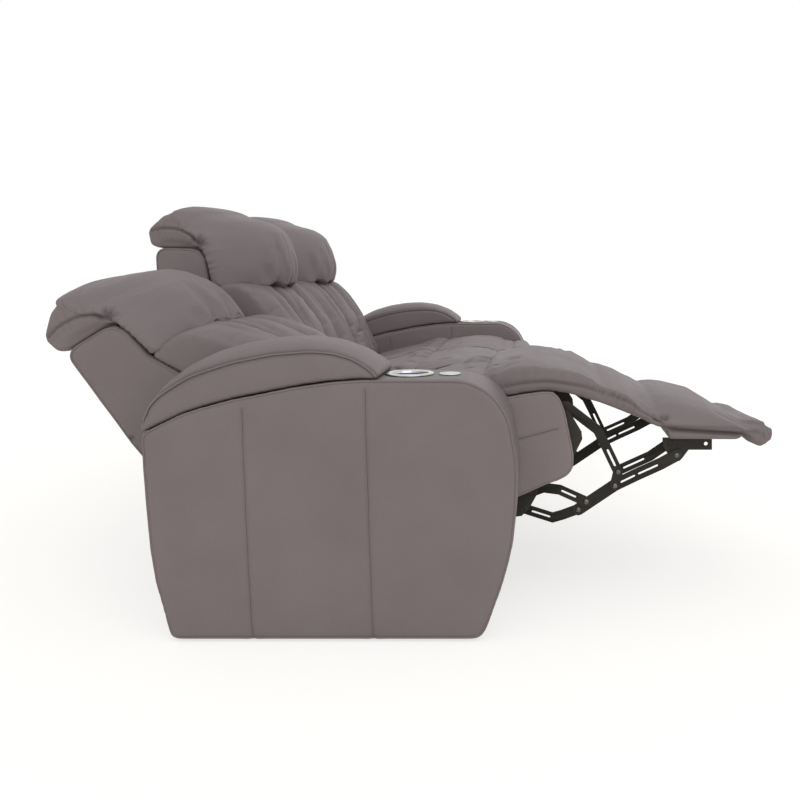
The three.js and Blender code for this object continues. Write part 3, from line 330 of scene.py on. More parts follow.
class Cover:
    """The leather of one padded piece. Seams, gathers and folds press into its points, and shade is painted
    into its colour where they sink in.
    """

    def __init__(self, mesh):
        """Reads a mesh, and keeps its surface as it is now for lines to be laid on."""
        self.mesh = mesh
        self.points = coordinates(mesh)
        self.painted_shade = np.zeros(len(self.points))
        self.surface = surface_of(mesh)
        self.read_normals()

    def read_normals(self):
        """Gives the mesh its moved points, and reads which way they face now."""
        set_coordinates(self.mesh, self.points)
        normals = np.empty(len(self.points) * 3)
        self.mesh.vertex_normals.foreach_get("vector", normals)
        self.normals = normals.reshape(-1, 3)

    def darken(self, picked, shade):
        """Paints shade into the leather's colour at a groove or fold, where it isn't painted darker yet."""
        self.painted_shade[picked] = np.maximum(self.painted_shade[picked], shade)

    def lay(self, points, spacing=0.006, closed=False):
        """A line laid on the surface as it was before pressing."""
        line = smooth_line(points, spacing, closed)
        found = [self.surface.find_nearest(Vector(point)) for point in line]
        return np.array([hit[0][:] for hit in found])

    def along(self, line, reach):
        """Which points are within reach of the line, how far off and how far along, and its length."""
        low = line.min(axis=0) - reach
        high = line.max(axis=0) + reach
        picked = np.flatnonzero(((self.points > low) & (self.points < high)).all(axis=1))
        points = self.points[picked]
        best = np.full(len(picked), np.inf)
        run = np.zeros(len(picked))
        start = 0.0
        for a, b in zip(line[:-1], line[1:]):
            step = b - a
            length = np.linalg.norm(step)
            if length < 1e-9:
                continue
            share = np.clip((points - a) @ step / length ** 2, 0, 1)
            distance = np.linalg.norm(points - a - share[:, None] * step, axis=1)
            closer = distance < best
            best[closer] = distance[closer]
            run[closer] = start + share[closer] * length
            start += length
        kept = best < reach
        return picked[kept], best[kept], run[kept], start

    def press(self, line, depth, width, shade, puff=0.0, taper=0.0):
        """A groove along a line, with a puffed lip on both sides, and shade painted along the groove."""
        picked, distance, run, length = self.along(line, 5 * width)
        ends = np.ones(len(picked))
        if taper:
            ends = ramp(np.minimum(run, length - run), 0, taper * length) ** 0.7
        groove = np.exp(-(distance / width) ** 2)
        lip = np.exp(-((distance - 2.6 * width) / (1.3 * width)) ** 2)
        self.points[picked] += self.normals[picked] * (ends * (puff * lip - depth * groove))[:, None]
        self.darken(picked, shade * ends * np.exp(-(distance / (1.2 * width)) ** 2))

    def gather(self, line, reach, depth, pitch, seed, shade):
        """Short ripples that run off a sewn line, as where leather is drawn up to a shorter seam, with shade
        painted in their hollows.
        """
        picked, distance, run, length = self.along(line, 2.2 * reach)
        draw = np.random.default_rng(seed)
        knots = np.arange(0, int(length / pitch) + 4)
        drift = draw.uniform(-0.28, 0.28, len(knots))
        strong = draw.uniform(0.45, 1.0, len(knots))
        long = draw.uniform(0.5, 1.1, len(knots))
        step = run / pitch
        size = np.interp(step, knots, strong)
        far = np.interp(step, knots, long) * reach
        wave = np.abs(np.sin(pi * (step + np.interp(step, knots, drift)))) ** 0.8
        fade = np.exp(-(distance / far) ** 2) * ramp(distance, 0, 0.004)
        ends = ramp(np.minimum(run, length - run), 0, 1.5 * pitch)
        self.points[picked] += self.normals[picked] * (depth * size * fade * ends * (wave - 0.6))[:, None]
        self.darken(picked, shade * size * fade * ends * (1 - wave) ** 2)

    def tuft(self, centre, depth, radius, folds, length, seed):
        """A pull, where a hidden tie draws the leather in, with folds that run out from it, and shade painted
        in the pull and along the folds.
        """
        at = np.array(self.surface.find_nearest(Vector(centre))[0][:])
        distance = np.linalg.norm(self.points - at, axis=1)
        picked = np.flatnonzero(distance < 4 * radius)
        well = np.exp(-(distance[picked] / radius) ** 2)
        normal = self.normals[np.argmin(distance)]
        self.points[picked] -= normal * (depth * well)[:, None]
        self.darken(picked, 0.4 * np.exp(-(distance[picked] / (0.35 * radius)) ** 2))
        draw = np.random.default_rng(seed)
        first = np.cross(normal, (0, 0.3, 1))
        first /= np.linalg.norm(first)
        second = np.cross(normal, first)
        for i in range(folds):
            angle = 2 * pi * (i + draw.uniform(-0.3, 0.3)) / folds
            out = first * cos(angle) + second * sin(angle)
            far = length * draw.uniform(0.6, 1.1)
            bend = at + out * far * 0.5 + second * far * 0.1
            fold_line = self.lay([at + out * 0.002, bend, at + out * far])
            self.press(fold_line, depth * 0.35, radius * 0.2, puff=depth * 0.06, shade=0.4, taper=0.6)

    def finished(self):
        """The pressed mesh, with the shade painted in its grooves and folds as an attribute that the
        leather's colour reads.
        """
        self.read_normals()
        shade = self.mesh.attributes.new("painted_shade", "FLOAT", "POINT")
        shade.data.foreach_set("value", np.clip(self.painted_shade, 0, 1).astype(np.float32))
        return self.mesh


# The grain of a hide: pebbles between fine creases, and broad cloudy patches
hide, hide_in, hide_out = value_group("hide_grain", {"Pebbles per metre": 700, "Patches per metre": 7},
                                      ["Height", "Patch"])
hide_place = wired(hide, "ShaderNodeTexCoord")
pebbles = wired(hide, "ShaderNodeTexVoronoi", {
    "Vector": hide_place.outputs["Object"], "Scale": hide_in["Pebbles per metre"],
}, feature="DISTANCE_TO_EDGE")
pebble_top = stretched(hide, pebbles.outputs["Distance"], 0.0, 0.16)
pores = clouds(hide, hide_place, 260.0, 4.0)
hide.links.new(product_of(hide, pebble_top, pores), hide_out["Height"])
hide.links.new(clouds(hide, hide_place, hide_in["Patches per metre"], 4.0), hide_out["Patch"])


def leather_finish(name, light, dark, deep, rough=0.5, pebbles_per_metre=700, bump_depth=0.00035):
    """Satin leather, dark and light in patches, darker in its pores, and with painted shade in its grooves
    and folds.
    """
    material, tree, shader = new_material(name)
    shader.inputs["Specular IOR Level"].default_value = 0.3
    grain = wired(tree, "ShaderNodeGroup", node_tree=hide)
    grain.inputs["Pebbles per metre"].default_value = pebbles_per_metre
    tone = between(tree, stretched(tree, grain.outputs["Patch"], 0.3, 0.7), dark, light)
    pore_shade = stretched(tree, grain.outputs["Height"], 0.0, 0.5, 0.16, 0.0)
    # The shade that the cover painted into its grooves, ripples and folds, read from its points
    painted_shade = wired(tree, "ShaderNodeAttribute", attribute_name="painted_shade")
    shaded = sum_of(tree, painted_shade.outputs["Fac"], pore_shade)
    tree.links.new(between(tree, shaded, tone, deep), shader.inputs["Base Color"])
    gloss = stretched(tree, grain.outputs["Patch"], 0.3, 0.7, rough - 0.06, rough + 0.07)
    tree.links.new(gloss, shader.inputs["Roughness"])
    bump = wired(tree, "ShaderNodeBump", {"Height": grain.outputs["Height"], "Strength": 0.5,
                                          "Distance": bump_depth})
    tree.links.new(bump.outputs[0], shader.inputs["Normal"])
    return material


taupe_leather = leather_finish("taupe_leather", (0.197, 0.165, 0.170, 1), (0.178, 0.148, 0.153, 1),
                               (0.055, 0.043, 0.044, 1))
# The apron's leather is the taupe leather painted lighter, to lift the shade that falls on the apron under
# the seat's front
apron_leather = leather_finish("apron_leather", (0.250, 0.210, 0.216, 1), (0.228, 0.190, 0.196, 1),
                               (0.055, 0.043, 0.044, 1), rough=0.54, pebbles_per_metre=620)
# The seam leather is the taupe leather darkened. Thin cords of it lie in the seams as painted shade, where
# the grooves are too narrow for the cover's faces
seam_shadow_leather = leather_finish("seam_shadow_leather", (0.125, 0.103, 0.105, 1), (0.105, 0.086, 0.088, 1),
                              (0.045, 0.036, 0.036, 1), rough=0.6, pebbles_per_metre=1400, bump_depth=0.0001)
lining_cloth = leather_finish("lining_cloth", (0.020, 0.019, 0.020, 1), (0.014, 0.013, 0.014, 1),
                              (0.006, 0.006, 0.006, 1), rough=0.85, pebbles_per_metre=1100)
thread = leather_finish("taupe_thread", (0.235, 0.205, 0.205, 1), (0.195, 0.168, 0.168, 1),
                        (0.09, 0.07, 0.07, 1), rough=0.6, pebbles_per_metre=1600, bump_depth=0.0001)


def placed(name, mesh, body, materials, stands_for=(), fold_over=None):
    """A finished piece on its body, or, where fold_over is given, left where it is on no body."""
    mesh.name = name
    mesh.materials.clear()
    for material in materials:
        mesh.materials.append(material)
    mesh.shade_smooth()
    piece = bpy.data.objects.new(name, mesh)
    scene.collection.objects.link(piece)
    if fold_over:
        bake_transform(piece)
    else:
        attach(piece, body)
    if stands_for:
        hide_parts(*stands_for)
    return piece


def line_tree(name, inputs):
    """A Geometry Nodes tree that dresses a line, with named sizes and a material."""
    tree = bpy.data.node_groups.new(name, "GeometryNodeTree")
    tree.interface.new_socket("Line", in_out="INPUT", socket_type="NodeSocketGeometry")
    for socket, default in inputs.items():
        made = tree.interface.new_socket(socket, in_out="INPUT", socket_type="NodeSocketFloat")
        made.default_value = default
    tree.interface.new_socket("Material", in_out="INPUT", socket_type="NodeSocketMaterial")
    tree.interface.new_socket("Piece", in_out="OUTPUT", socket_type="NodeSocketGeometry")
    return tree, tree.nodes.new("NodeGroupInput").outputs, tree.nodes.new("NodeGroupOutput").inputs


def finish_tree(tree, shape, material, output):
    """The end of a line tree: real faces in the piece's material."""
    whole = wired(tree, "GeometryNodeRealizeInstances", {"Geometry": shape})
    painted = wired(tree, "GeometryNodeSetMaterial", {"Geometry": whole.outputs[0], "Material": material})
    tree.links.new(painted.outputs[0], output)


# Piping is a leather tube swept along a line
piping, piping_in, piping_out = line_tree("piping", {"Radius": 0.0026})
piping_curve = wired(piping, "GeometryNodeMeshToCurve", {"Mesh": piping_in["Line"]})
piping_round = wired(piping, "GeometryNodeCurvePrimitiveCircle", {"Resolution": 8,
                                                                  "Radius": piping_in["Radius"]})
piping_tube = wired(piping, "GeometryNodeCurveToMesh", {
    "Curve": piping_curve.outputs[0], "Profile Curve": piping_round.outputs["Curve"], "Fill Caps": True})
finish_tree(piping, piping_tube.outputs[0], piping_in["Material"], piping_out["Piece"])

# Stitches are short threads set along a line at an even pitch
stitches, stitches_in, stitches_out = line_tree("stitches", {"Pitch": 0.006, "Length": 0.0042,
                                                             "Thickness": 0.0011})
stitch_curve = wired(stitches, "GeometryNodeMeshToCurve", {"Mesh": stitches_in["Line"]})
stitch_points = wired(stitches, "GeometryNodeCurveToPoints", {
    "Curve": stitch_curve.outputs[0], "Length": stitches_in["Pitch"]}, mode="LENGTH")
stitch_ball = wired(stitches, "GeometryNodeMeshUVSphere", {"Segments": 6, "Rings": 4, "Radius": 0.5})
stitch_size = wired(stitches, "ShaderNodeCombineXYZ", {
    "X": stitches_in["Length"], "Y": stitches_in["Thickness"], "Z": stitches_in["Thickness"]})
stitch_turn = wired(stitches, "FunctionNodeAlignRotationToVector",
                    {"Vector": stitch_points.outputs["Tangent"]}, axis="X")
stitch_set = wired(stitches, "GeometryNodeInstanceOnPoints", {
    "Points": stitch_points.outputs["Points"], "Instance": stitch_ball.outputs["Mesh"],
    "Rotation": stitch_turn.outputs[0], "Scale": stitch_size.outputs[0]})
finish_tree(stitches, stitch_set.outputs[0], stitches_in["Material"], stitches_out["Piece"])


def along_lines(lines, tree, material, place=None, **sizes):
    """The plain mesh that a line tree makes of these lines."""
    mesh = bpy.data.meshes.new("lines")
    points = []
    edges = []
    for line in lines:
        first = len(points)
        loop = np.linalg.norm(line[0] - line[-1]) < 1e-6
        used = line[:-1] if loop else line
        points.extend(used)
        edges.extend((first + i, first + i + 1) for i in range(len(used) - 1))
        if loop:
            edges.append((first + len(used) - 1, first))
    mesh.from_pydata([tuple(point) for point in points], edges, [])
    if place is not None:
        mesh.transform(place)
    carrier = on_carrier(mesh)
    modifier = carrier.modifiers.new("line", "NODES")
    modifier.node_group = tree
    sockets = tree.interface.items_tree
    modifier[sockets["Material"].identifier] = material
    for size, value in sizes.items():
        modifier[sockets[size].identifier] = value
    return taken_off(carrier)


def outline_at(mesh, across):
    """The closed outline where a side plane cuts a mesh, longest loop first."""
    cut = bmesh.new()
    cut.from_mesh(mesh)
    bmesh.ops.bisect_plane(cut, geom=cut.verts[:] + cut.edges[:] + cut.faces[:], plane_co=(across, 0, 0),
                           plane_no=(1, 0, 0), clear_inner=True, clear_outer=True)
    bmesh.ops.remove_doubles(cut, verts=cut.verts, dist=0.00002)
    loops = []
    left = dict.fromkeys(cut.verts)
    while left:
        loop = [left.popitem()[0]]
        grown = True
        while grown:
            grown = False
            for edge in loop[-1].link_edges:
                other = edge.other_vert(loop[-1])
                if other in left:
                    del left[other]
                    loop.append(other)
                    grown = True
                    break
        loops.append(np.array([point.co[:] for point in loop]))
    cut.free()
    loops.sort(key=lambda points: -np.linalg.norm(np.diff(points, axis=0), axis=1).sum())
    return loops


arm_across = 0.97655
arm_places = {"near": Matrix.Translation((-arm_across, 0, 0)), "far": Matrix.Translation((arm_across, 0, 0))}
arm_half = 102.5
arm_top = 0.576
arm_reach = 0.415
board_weave = 0.006
arm_cad = cad_copy("arm", ["near_arm"], arm_places["near"].inverted())
arm_cover = Cover(padded_over(arm_cad, board_weave, 3))
panel_seams = [[(-191, 516), (-186, 380), (-178, 200), (-167, 10)],
               [(79, 556), (84, 380), (90, 200), (97, 10)]]
stitch_gap = 3.6
stitch_start = 4
arm_threads = []
arm_seams = []
for hand in (-1, 1):
    for seam in panel_seams:
        arm_seams.append(arm_cover.lay([side(*point, hand * arm_half) for point in seam]))
        for offset in (-stitch_gap, stitch_gap):
            thread_run = [side(forward + offset, up - stitch_start, hand * arm_half) for forward, up in seam]
            arm_threads.append(arm_cover.lay(thread_run))

# The foam swells the arm's flat faces, less and less toward their edges
swell = 0.0065
arm_x, arm_y, arm_z = arm_cover.points.T
face_share = ramp(np.abs(arm_x), 0.090, 0.098)
swell_up = ramp(arm_z, 0, 0.06) * ramp(arm_top + 0.01 - arm_z, 0, 0.08)
swell_long = ramp(arm_reach - np.abs(arm_y), 0, 0.09)
arm_cover.points[:, 0] += np.sign(arm_x) * swell * face_share * np.sqrt(swell_up * swell_long)
arm_cover.read_normals()
for seam_line in arm_seams:
    arm_cover.press(seam_line, 0.0014, 0.0055, puff=0.0004, shade=0.16)
arm_mesh = arm_cover.finished()
arm_surface = surface_of(arm_mesh)

# The bin and the underside are lined with black cloth
bin_half = 0.071
bin_ends = (-0.056, 0.354)
bin_floor = 0.33
lining_edge = 0.0085
inside_bin = (np.abs(arm_x) < bin_half) & (arm_y > bin_ends[0]) & (arm_y < bin_ends[1]) & (arm_z > bin_floor)
lined = inside_bin | (arm_z < lining_edge)
face_slots = np.array([1 if lined[list(face.vertices)].all() else 0 for face in arm_mesh.polygons])


def on_surface(surface, line, lift):
    """The line moved onto a surface, and off it by lift."""
    laid = []
    for point in line:
        spot, normal, _, _ = surface.find_nearest(Vector(point))
        laid.append(spot + normal * lift)
    return np.array([point[:] for point in laid])


def rim_lines(surface, mesh, half, inset, lift):
    """The outlines of a board's two faces, laid on the leather over them."""
    rims = [outline_at(mesh, hand * (half - inset) / 1000)[0] for hand in (-1, 1)]
    return [on_surface(surface, smooth_line(rim, closed=True), lift) for rim in rims]


arm_outlines = rim_lines(arm_surface, arm_cad, arm_half, 2.0, 0.0006)
arm_stitch_lines = [on_surface(arm_surface, line, 0.0003) for line in arm_threads]
arm_seam_lines = [on_surface(arm_surface, line, 0.0001) for line in arm_seams]
glide_spots = [(300, 0), (-310, 0)]


def turned(name, profile, centre, segments=48):
    """A round piece turned from (radius, height) points in millimetres, about an upright axis."""
    shape = bmesh.new()
    rim = [shape.verts.new((radius / 1000, 0, height / 1000)) for radius, height in profile]
    edges = [shape.edges.new(pair) for pair in zip(rim[:-1], rim[1:])]
    bmesh.ops.spin(shape, geom=rim + edges, cent=(0, 0, 0), axis=(0, 0, 1), angle=2 * pi, steps=segments)
    bmesh.ops.remove_doubles(shape, verts=shape.verts, dist=0.00001)
    bmesh.ops.recalc_face_normals(shape, faces=shape.faces)
    mesh = bpy.data.meshes.new(name)
    shape.to_mesh(mesh)
    shape.free()
    mesh.transform(Matrix.Translation(centre))
    return mesh


def merged(name, meshes):
    """Several meshes as one."""
    shape = bmesh.new()
    for mesh in meshes:
        shape.from_mesh(mesh)
    mesh = bpy.data.meshes.new(name)
    shape.to_mesh(mesh)
    shape.free()
    return mesh


black_plastic = metal_finish("black_plastic", (0.012, 0.012, 0.012, 1), (0.05, 0.05, 0.05, 1), 0.55, 0.0, 0.2,
                             amount=0.2, grain=1500)
glide_profile = [(0, 0), (15, 0), (18, 1.2), (19, 4), (19, 9.5), (0, 9.5)]
for end, arm_place in arm_places.items():
    arm_copy = arm_mesh.copy()
    arm_copy.transform(arm_place)
    placed(f"{end}_arm_cover", arm_copy, "row", [taupe_leather, lining_cloth], [f"{end}_arm"])
    arm_copy.polygons.foreach_set("material_index", face_slots.astype(np.int32))
    welt = along_lines(arm_outlines, piping, taupe_leather, arm_place, Radius=0.0028)
    placed(f"{end}_arm_piping", welt, "row", [taupe_leather])
    sewn = along_lines(arm_stitch_lines, stitches, thread, arm_place)
    placed(f"{end}_arm_stitches", sewn, "row", [thread])
    # A thin dark cord in each seam is painted shade, the shadow of its narrow groove
    seam_shadow_cords = along_lines(arm_seam_lines, piping, seam_shadow_leather, arm_place, Radius=0.0006)
    placed(f"{end}_arm_seam_shadow_cords", seam_shadow_cords, "row", [seam_shadow_leather])
    glides = merged(f"{end}_arm_glides", [
        turned("glide", glide_profile, arm_place @ Vector(side(forward, 0, across)))
        for forward, across in glide_spots])
    placed(f"{end}_arm_glides", glides, "row", [black_plastic])

# Cup holders: chromed steel turned with a rolled rim, each with a blue lamp ring inside its mouth.
# The satin control disc beside it carries a small rocker that moves the seat.
chrome_metal = metal_finish("chrome", (0.60, 0.585, 0.55, 1), (0.36, 0.35, 0.32, 1), 0.17, 1.0, 0.6,
                            marks_per_metre=120, amount=0.15, grain=300)
satin_metal = metal_finish("satin_metal", (0.60, 0.61, 0.59, 1), (0.75, 0.75, 0.74, 1), 0.30, 0.9, 0.5,
                           marks_per_metre=150, amount=0.2, grain=2200)
lamp_blue, lamp_tree, lamp_shader = new_material("lamp_blue")
lamp_clouds = clouds(lamp_tree, wired(lamp_tree, "ShaderNodeTexCoord"), 120.0)
lamp_tint = between(lamp_tree, lamp_clouds, (0.01, 0.03, 0.34, 1), (0.03, 0.06, 0.60, 1))
lamp_tree.links.new(lamp_tint, lamp_shader.inputs["Base Color"])
lamp_tree.links.new(lamp_tint, lamp_shader.inputs["Emission Color"])
lamp_shader.inputs["Emission Strength"].default_value = 0.45
lamp_shader.inputs["Roughness"].default_value = 0.25
cup_centre = 162
control_centre = 255
rim_height = 576.4
cup_profile = [(0, -72), (40, -72), (43.2, -70.5), (44, -68), (44, 0), (54.6, 0), (56, 0.8), (56.2, 2.0),
               (55.4, 3.4), (53.4, 4.6), (50, 5.2), (46, 5.0), (43.4, 4.2), (42.0, 2.6), (41.5, 0.5),
               (41.5, -4.6), (38.9, -4.6), (38.9, -67.5), (37.5, -69.3), (35, -69.6), (0, -69.6)]
lamp_profile = [(39.2, -4.3), (41.3, -4.3), (41.3, -1.7), (40.8, -1.3), (39.7, -1.3), (39.2, -1.7),
                (39.2, -4.3)]
disc_profile = [(0, -20), (19, -20), (19, 0), (23.8, 0), (24.9, 0.7), (25, 1.6), (24.2, 2.9), (22.4, 3.5),
                (20.6, 3.6), (20.2, 3.1), (19.4, 3.1), (19.0, 3.6), (0, 3.6)]
for end, arm_place in arm_places.items():
    for part, profile, centre, slot, material in (
        ("cup_holder", cup_profile, cup_centre, "chrome", chrome_metal),
        ("cup_lamp", lamp_profile, cup_centre, "lamp", lamp_blue),
        ("control_plate", disc_profile, control_centre, "pale_metal", satin_metal),
    ):
        round_piece = turned(part, profile, arm_place @ Vector(side(centre, rim_height)), segments=96)
        placed(f"{end}_{part}_turned", round_piece, "row", [material], [f"{end}_{part}"])

# Rockers: a small key of satin metal with a dished top. It sits in a slot of its disc and tips about
# its middle, and moves the seat.
rocker_length = 24.4
rocker_width = 15.8
rocker_top = 581.3
rocker_thick = 4.6
rocker_belly = 1.6
rocker_dish = 0.9
rocker_side_lift = 0.15
rocker_end_taper = 0.12


def rocker_shape():
    """The key as a grid of points for its top and one for its underside, closed round the rim."""
    shape = bmesh.new()
    steps = 13
    across_steps = 7
    rows = []
    for top in (False, True):
        for along in np.linspace(-1, 1, steps):
            for across in np.linspace(-1, 1, across_steps):
                dish = rocker_dish * (1 - along ** 2) + rocker_side_lift * across ** 2
                up = rocker_top - (dish if top else rocker_thick - rocker_belly * along ** 2)
                half = (1 - rocker_end_taper * abs(along) ** 6) * rocker_width / 2
                spot = side(control_centre + along * rocker_length / 2, up, across * half)
                rows.append(shape.verts.new(spot))
    layer = steps * across_steps
    for i in range(steps - 1):
        for j in range(across_steps - 1):
            a = i * across_steps + j
            quad = [a, a + 1, a + across_steps + 1, a + across_steps]
            shape.faces.new([rows[layer + k] for k in quad])
            shape.faces.new([rows[k] for k in reversed(quad)])
    last = across_steps - 1
    rim = [(0, j) for j in range(across_steps)] + [(i, last) for i in range(1, steps)]
    rim += [(steps - 1, j) for j in reversed(range(last))] + [(i, 0) for i in range(steps - 2, 0, -1)]
    ring = [i * across_steps + j for i, j in rim]
    for a, b in zip(ring, ring[1:] + ring[:1]):
        shape.faces.new((rows[a], rows[b], rows[layer + b], rows[layer + a]))
    bmesh.ops.recalc_face_normals(shape, faces=shape.faces)
    mesh = bpy.data.meshes.new("rocker")
    shape.to_mesh(mesh)
    shape.free()
    return with_modifiers(mesh, [("BEVEL", {"width": 0.0006, "segments": 2, "limit_method": "ANGLE"})])


for end, arm_place in arm_places.items():
    key = rocker_shape()
    key.transform(arm_place)
    placed(f"{end}_rocker_key", key, f"{end}_rocker", [satin_metal], [f"{end}_control_rocker"])

# Lid hinges: a steel barrel of seven rolled knuckles on a pin, with a leaf that is screwed to the
# rear of the arm.
hinge_steel = metal_finish("hinge_steel", (0.11, 0.105, 0.095, 1), (0.30, 0.29, 0.27, 1), 0.36, 0.9, 0.5,
                           amount=0.3)
knuckle_count = 7
knuckle_gap = 0.6
knuckle_radius = 0.005
hinge_half = 65
hinge_spot = (-420.3, 468.0)
pin_radius = 0.0022
pin_length = 0.1325
leaf_spot = (-416.6, 438.0)
leaf_size = (0.130, 0.0026, 0.060)


def hinge_rod(shape, across, radius, length, segments):
    """A round bar on the hinge's line."""
    turn = Matrix.Translation(side(*hinge_spot, across)) @ Matrix.Rotation(pi / 2, 4, "Y")
    bmesh.ops.create_cone(shape, cap_ends=True, segments=segments, radius1=radius, radius2=radius,
                          depth=length, matrix=turn)


def hinge_shape():
    """The knuckles, their pin and the leaf of one hinge."""
    shape = bmesh.new()
    pitch = 2 * hinge_half / knuckle_count
    for i in range(knuckle_count):
        hinge_rod(shape, -hinge_half + (i + 0.5) * pitch, knuckle_radius, (pitch - knuckle_gap) / 1000, 24)
    hinge_rod(shape, 0, pin_radius, pin_length, 16)
    leaf = bmesh.ops.create_cube(shape, size=1.0)["verts"]
    bmesh.ops.scale(shape, verts=leaf, vec=leaf_size)
    bmesh.ops.translate(shape, verts=leaf, vec=side(*leaf_spot))
    mesh = bpy.data.meshes.new("hinge")
    shape.to_mesh(mesh)
    shape.free()
    return with_modifiers(mesh, [("BEVEL", {"width": 0.0004, "segments": 2, "limit_method": "ANGLE"})])


for end, arm_place in arm_places.items():
    barrel = hinge_shape()
    barrel.transform(arm_place)
    placed(f"{end}_hinge_barrel", barrel, "row", [hinge_steel], [f"{end}_lid_hinge"])

# Rivets: domed zinc heads on both faces of every bar, where the linkage turns. They are set with a
# press, and each rides with its bar.
zinc = metal_finish("zinc_rivet", (0.10, 0.095, 0.085, 1), (0.34, 0.33, 0.31, 1), 0.34, 0.85, 0.6, amount=0.3)
rivets, rivets_in, rivets_out = line_tree("rivets", {"Radius": 0.0065, "Height": 0.0062})
rivet_dome = wired(rivets, "GeometryNodeMeshUVSphere", {"Segments": 16, "Rings": 8,
                                                        "Radius": rivets_in["Radius"]})
rivet_share = wired(rivets, "ShaderNodeMath", {0: rivets_in["Height"], 1: rivets_in["Radius"]},
                    operation="DIVIDE")
rivet_half = product_of(rivets, rivet_share.outputs[0], 0.5)
rivet_size = wired(rivets, "ShaderNodeCombineXYZ", {"X": rivet_half, "Y": 1.0, "Z": 1.0})
rivet_spots = wired(rivets, "GeometryNodeMeshToPoints", {"Mesh": rivets_in["Line"]})
rivet_set = wired(rivets, "GeometryNodeInstanceOnPoints", {
    "Points": rivet_spots.outputs["Points"], "Instance": rivet_dome.outputs["Mesh"],
    "Scale": rivet_size.outputs[0]})
finish_tree(rivets, rivet_set.outputs[0], rivets_in["Material"], rivets_out["Piece"])

# Where each seat stands, in metres. The near one has run forward and up its rails
seat_places = {"near": (-0.5827, -0.25, 0.03), "middle": (0, 0, 0), "far": (0.5827, 0, 0)}

# The pins of the linkage in millimetres, forward + up * 1j, with the footrest out
fold_pin = 434.0 + 481.0j
pins_out = {"upper": 236.0 + 450.0j, "lower": 169.0 + 199.0j, "stay": 192.0 + 240.0j,
            "lower_end": 308.0 + 196.0j, "cross_end": 398.0 + 256.0j, "brace_end": 406.0 + 290.0j,
            "stay_end": 327.0 + 217.0j, "brace_pin": 536.0 + 360.0j, "long_pin": 551.0 + 330.0j}
first_layer = 265.05
layer_pitch = 5.0
rivet_out = 2.0


def swung(pin, centre, degrees):
    """A pin turned down about another."""
    return centre + (pin - centre) * np.exp(-1j * radians(degrees))


def carried(pin, was, now):
    """A pin moved as a bar is when two of its pins go from was to now."""
    turn = (now[1] - now[0]) / (was[1] - was[0])
    return now[0] + (pin - was[0]) * turn / abs(turn)


pins_in = dict(pins_out)
for pin, centre, degrees in (
    ("lower_end", pins_out["lower"], 52),
    ("cross_end", pins_out["upper"], 36),
    ("brace_end", pins_out["upper"], 36),
    ("stay_end", pins_out["stay"], 60),
    ("long_pin", fold_pin, 90),
    ("brace_pin", fold_pin, 90),
):
    pins_in[pin] = swung(pins_out[pin], centre, degrees)

# For each bar: its layer from the seat's side inwards, the two pins that carry it, and its rivets
riveted = {"lower": (3, "lower", "lower_end", ["lower_end"]),
           "upper": (1, "upper", "cross_end", ["cross_end", "brace_end"]),
           "stay": (1, "stay", "stay_end", ["stay", "stay_end"]),
           "long": (2, "lower_end", "long_pin", ["lower_end", "cross_end", "long_pin"]),
           "brace": (4, "brace_pin", "brace_end", ["brace_pin", "brace_end"])}
for seat, pins in (("near", pins_out), ("far", pins_in)):
    for bar, (layer, first, second, spots) in riveted.items():
        for hand_name, hand in (("left", -1), ("right", 1)):
            across = hand * (first_layer - (layer - 1) * layer_pitch)
            heads = []
            for spot in spots:
                was = (pins_out[first], pins_out[second])
                pin = carried(pins_out[spot], was, (pins[first], pins[second]))
                for face in (-rivet_out, rivet_out):
                    heads.append(side(pin.real, pin.imag, across + face) + seat_places[seat])
            body = f"{seat}_{bar}" if bar in ("lower", "upper") else f"{seat}_{bar}_{hand_name}"
            heads_mesh = along_lines([np.array(heads)], rivets, zinc)
            placed(f"{seat}_{bar}_{hand_name}_rivets", heads_mesh, body, [zinc])

# Seat boxes: plywood sides and deck under padded leather, with one seam across each side and a
# corded edge at the front. The middle one is closed, and its front panel copies a folded footrest.
seat_shift = {seat: Matrix.Translation(place) for seat, place in seat_places.items()}
seat_body = {"near": "near_seat", "middle": "row", "far": "far_seat"}
seat_half = 288.35
apron_seam = [(158, 374), (210, 388), (258, 401)]
for seat, shift in seat_shift.items():
    box_cad = cad_copy("box", [f"{seat}_seat_box"], shift.inverted())
    box_cover = Cover(padded_over(box_cad, board_weave, 3))
    box_seams = [box_cover.lay([side(*point, hand * seat_half) for point in apron_seam]) for hand in (-1, 1)]
    for box_seam in box_seams:
        box_cover.press(box_seam, 0.0008, 0.004, puff=0.0003, shade=0.12)
    box_done = box_cover.finished()
    box_edges = rim_lines(box_cover.surface, box_cad, seat_half, 1.5, 0.0004)
    box_done.transform(shift)
    # The apron and its cord are in leather painted lighter than the rest, against the shade that the apron
    # stands in
    placed(f"{seat}_seat_apron", box_done, seat_body[seat], [apron_leather],
           [f"{seat}_seat_box"])
    cord = along_lines(box_edges, piping, apron_leather, shift, Radius=0.0026)
    placed(f"{seat}_apron_cord", cord, seat_body[seat], [apron_leather])
    # A thin dark cord in each apron seam is painted shade, the shadow of its narrow groove
    seam_shadow_cords = along_lines(box_seams, piping, seam_shadow_leather, shift, Radius=0.0006)
    placed(f"{seat}_apron_seam_shadows", seam_shadow_cords, seat_body[seat], [seam_shadow_leather])

# Seat cushions: sprung foam in a soft leather cover, held down by hidden ties that pull it in.
# The tail of the cushion runs under the back cushion.
fill_pressure = 4.0
fill_moments = 20


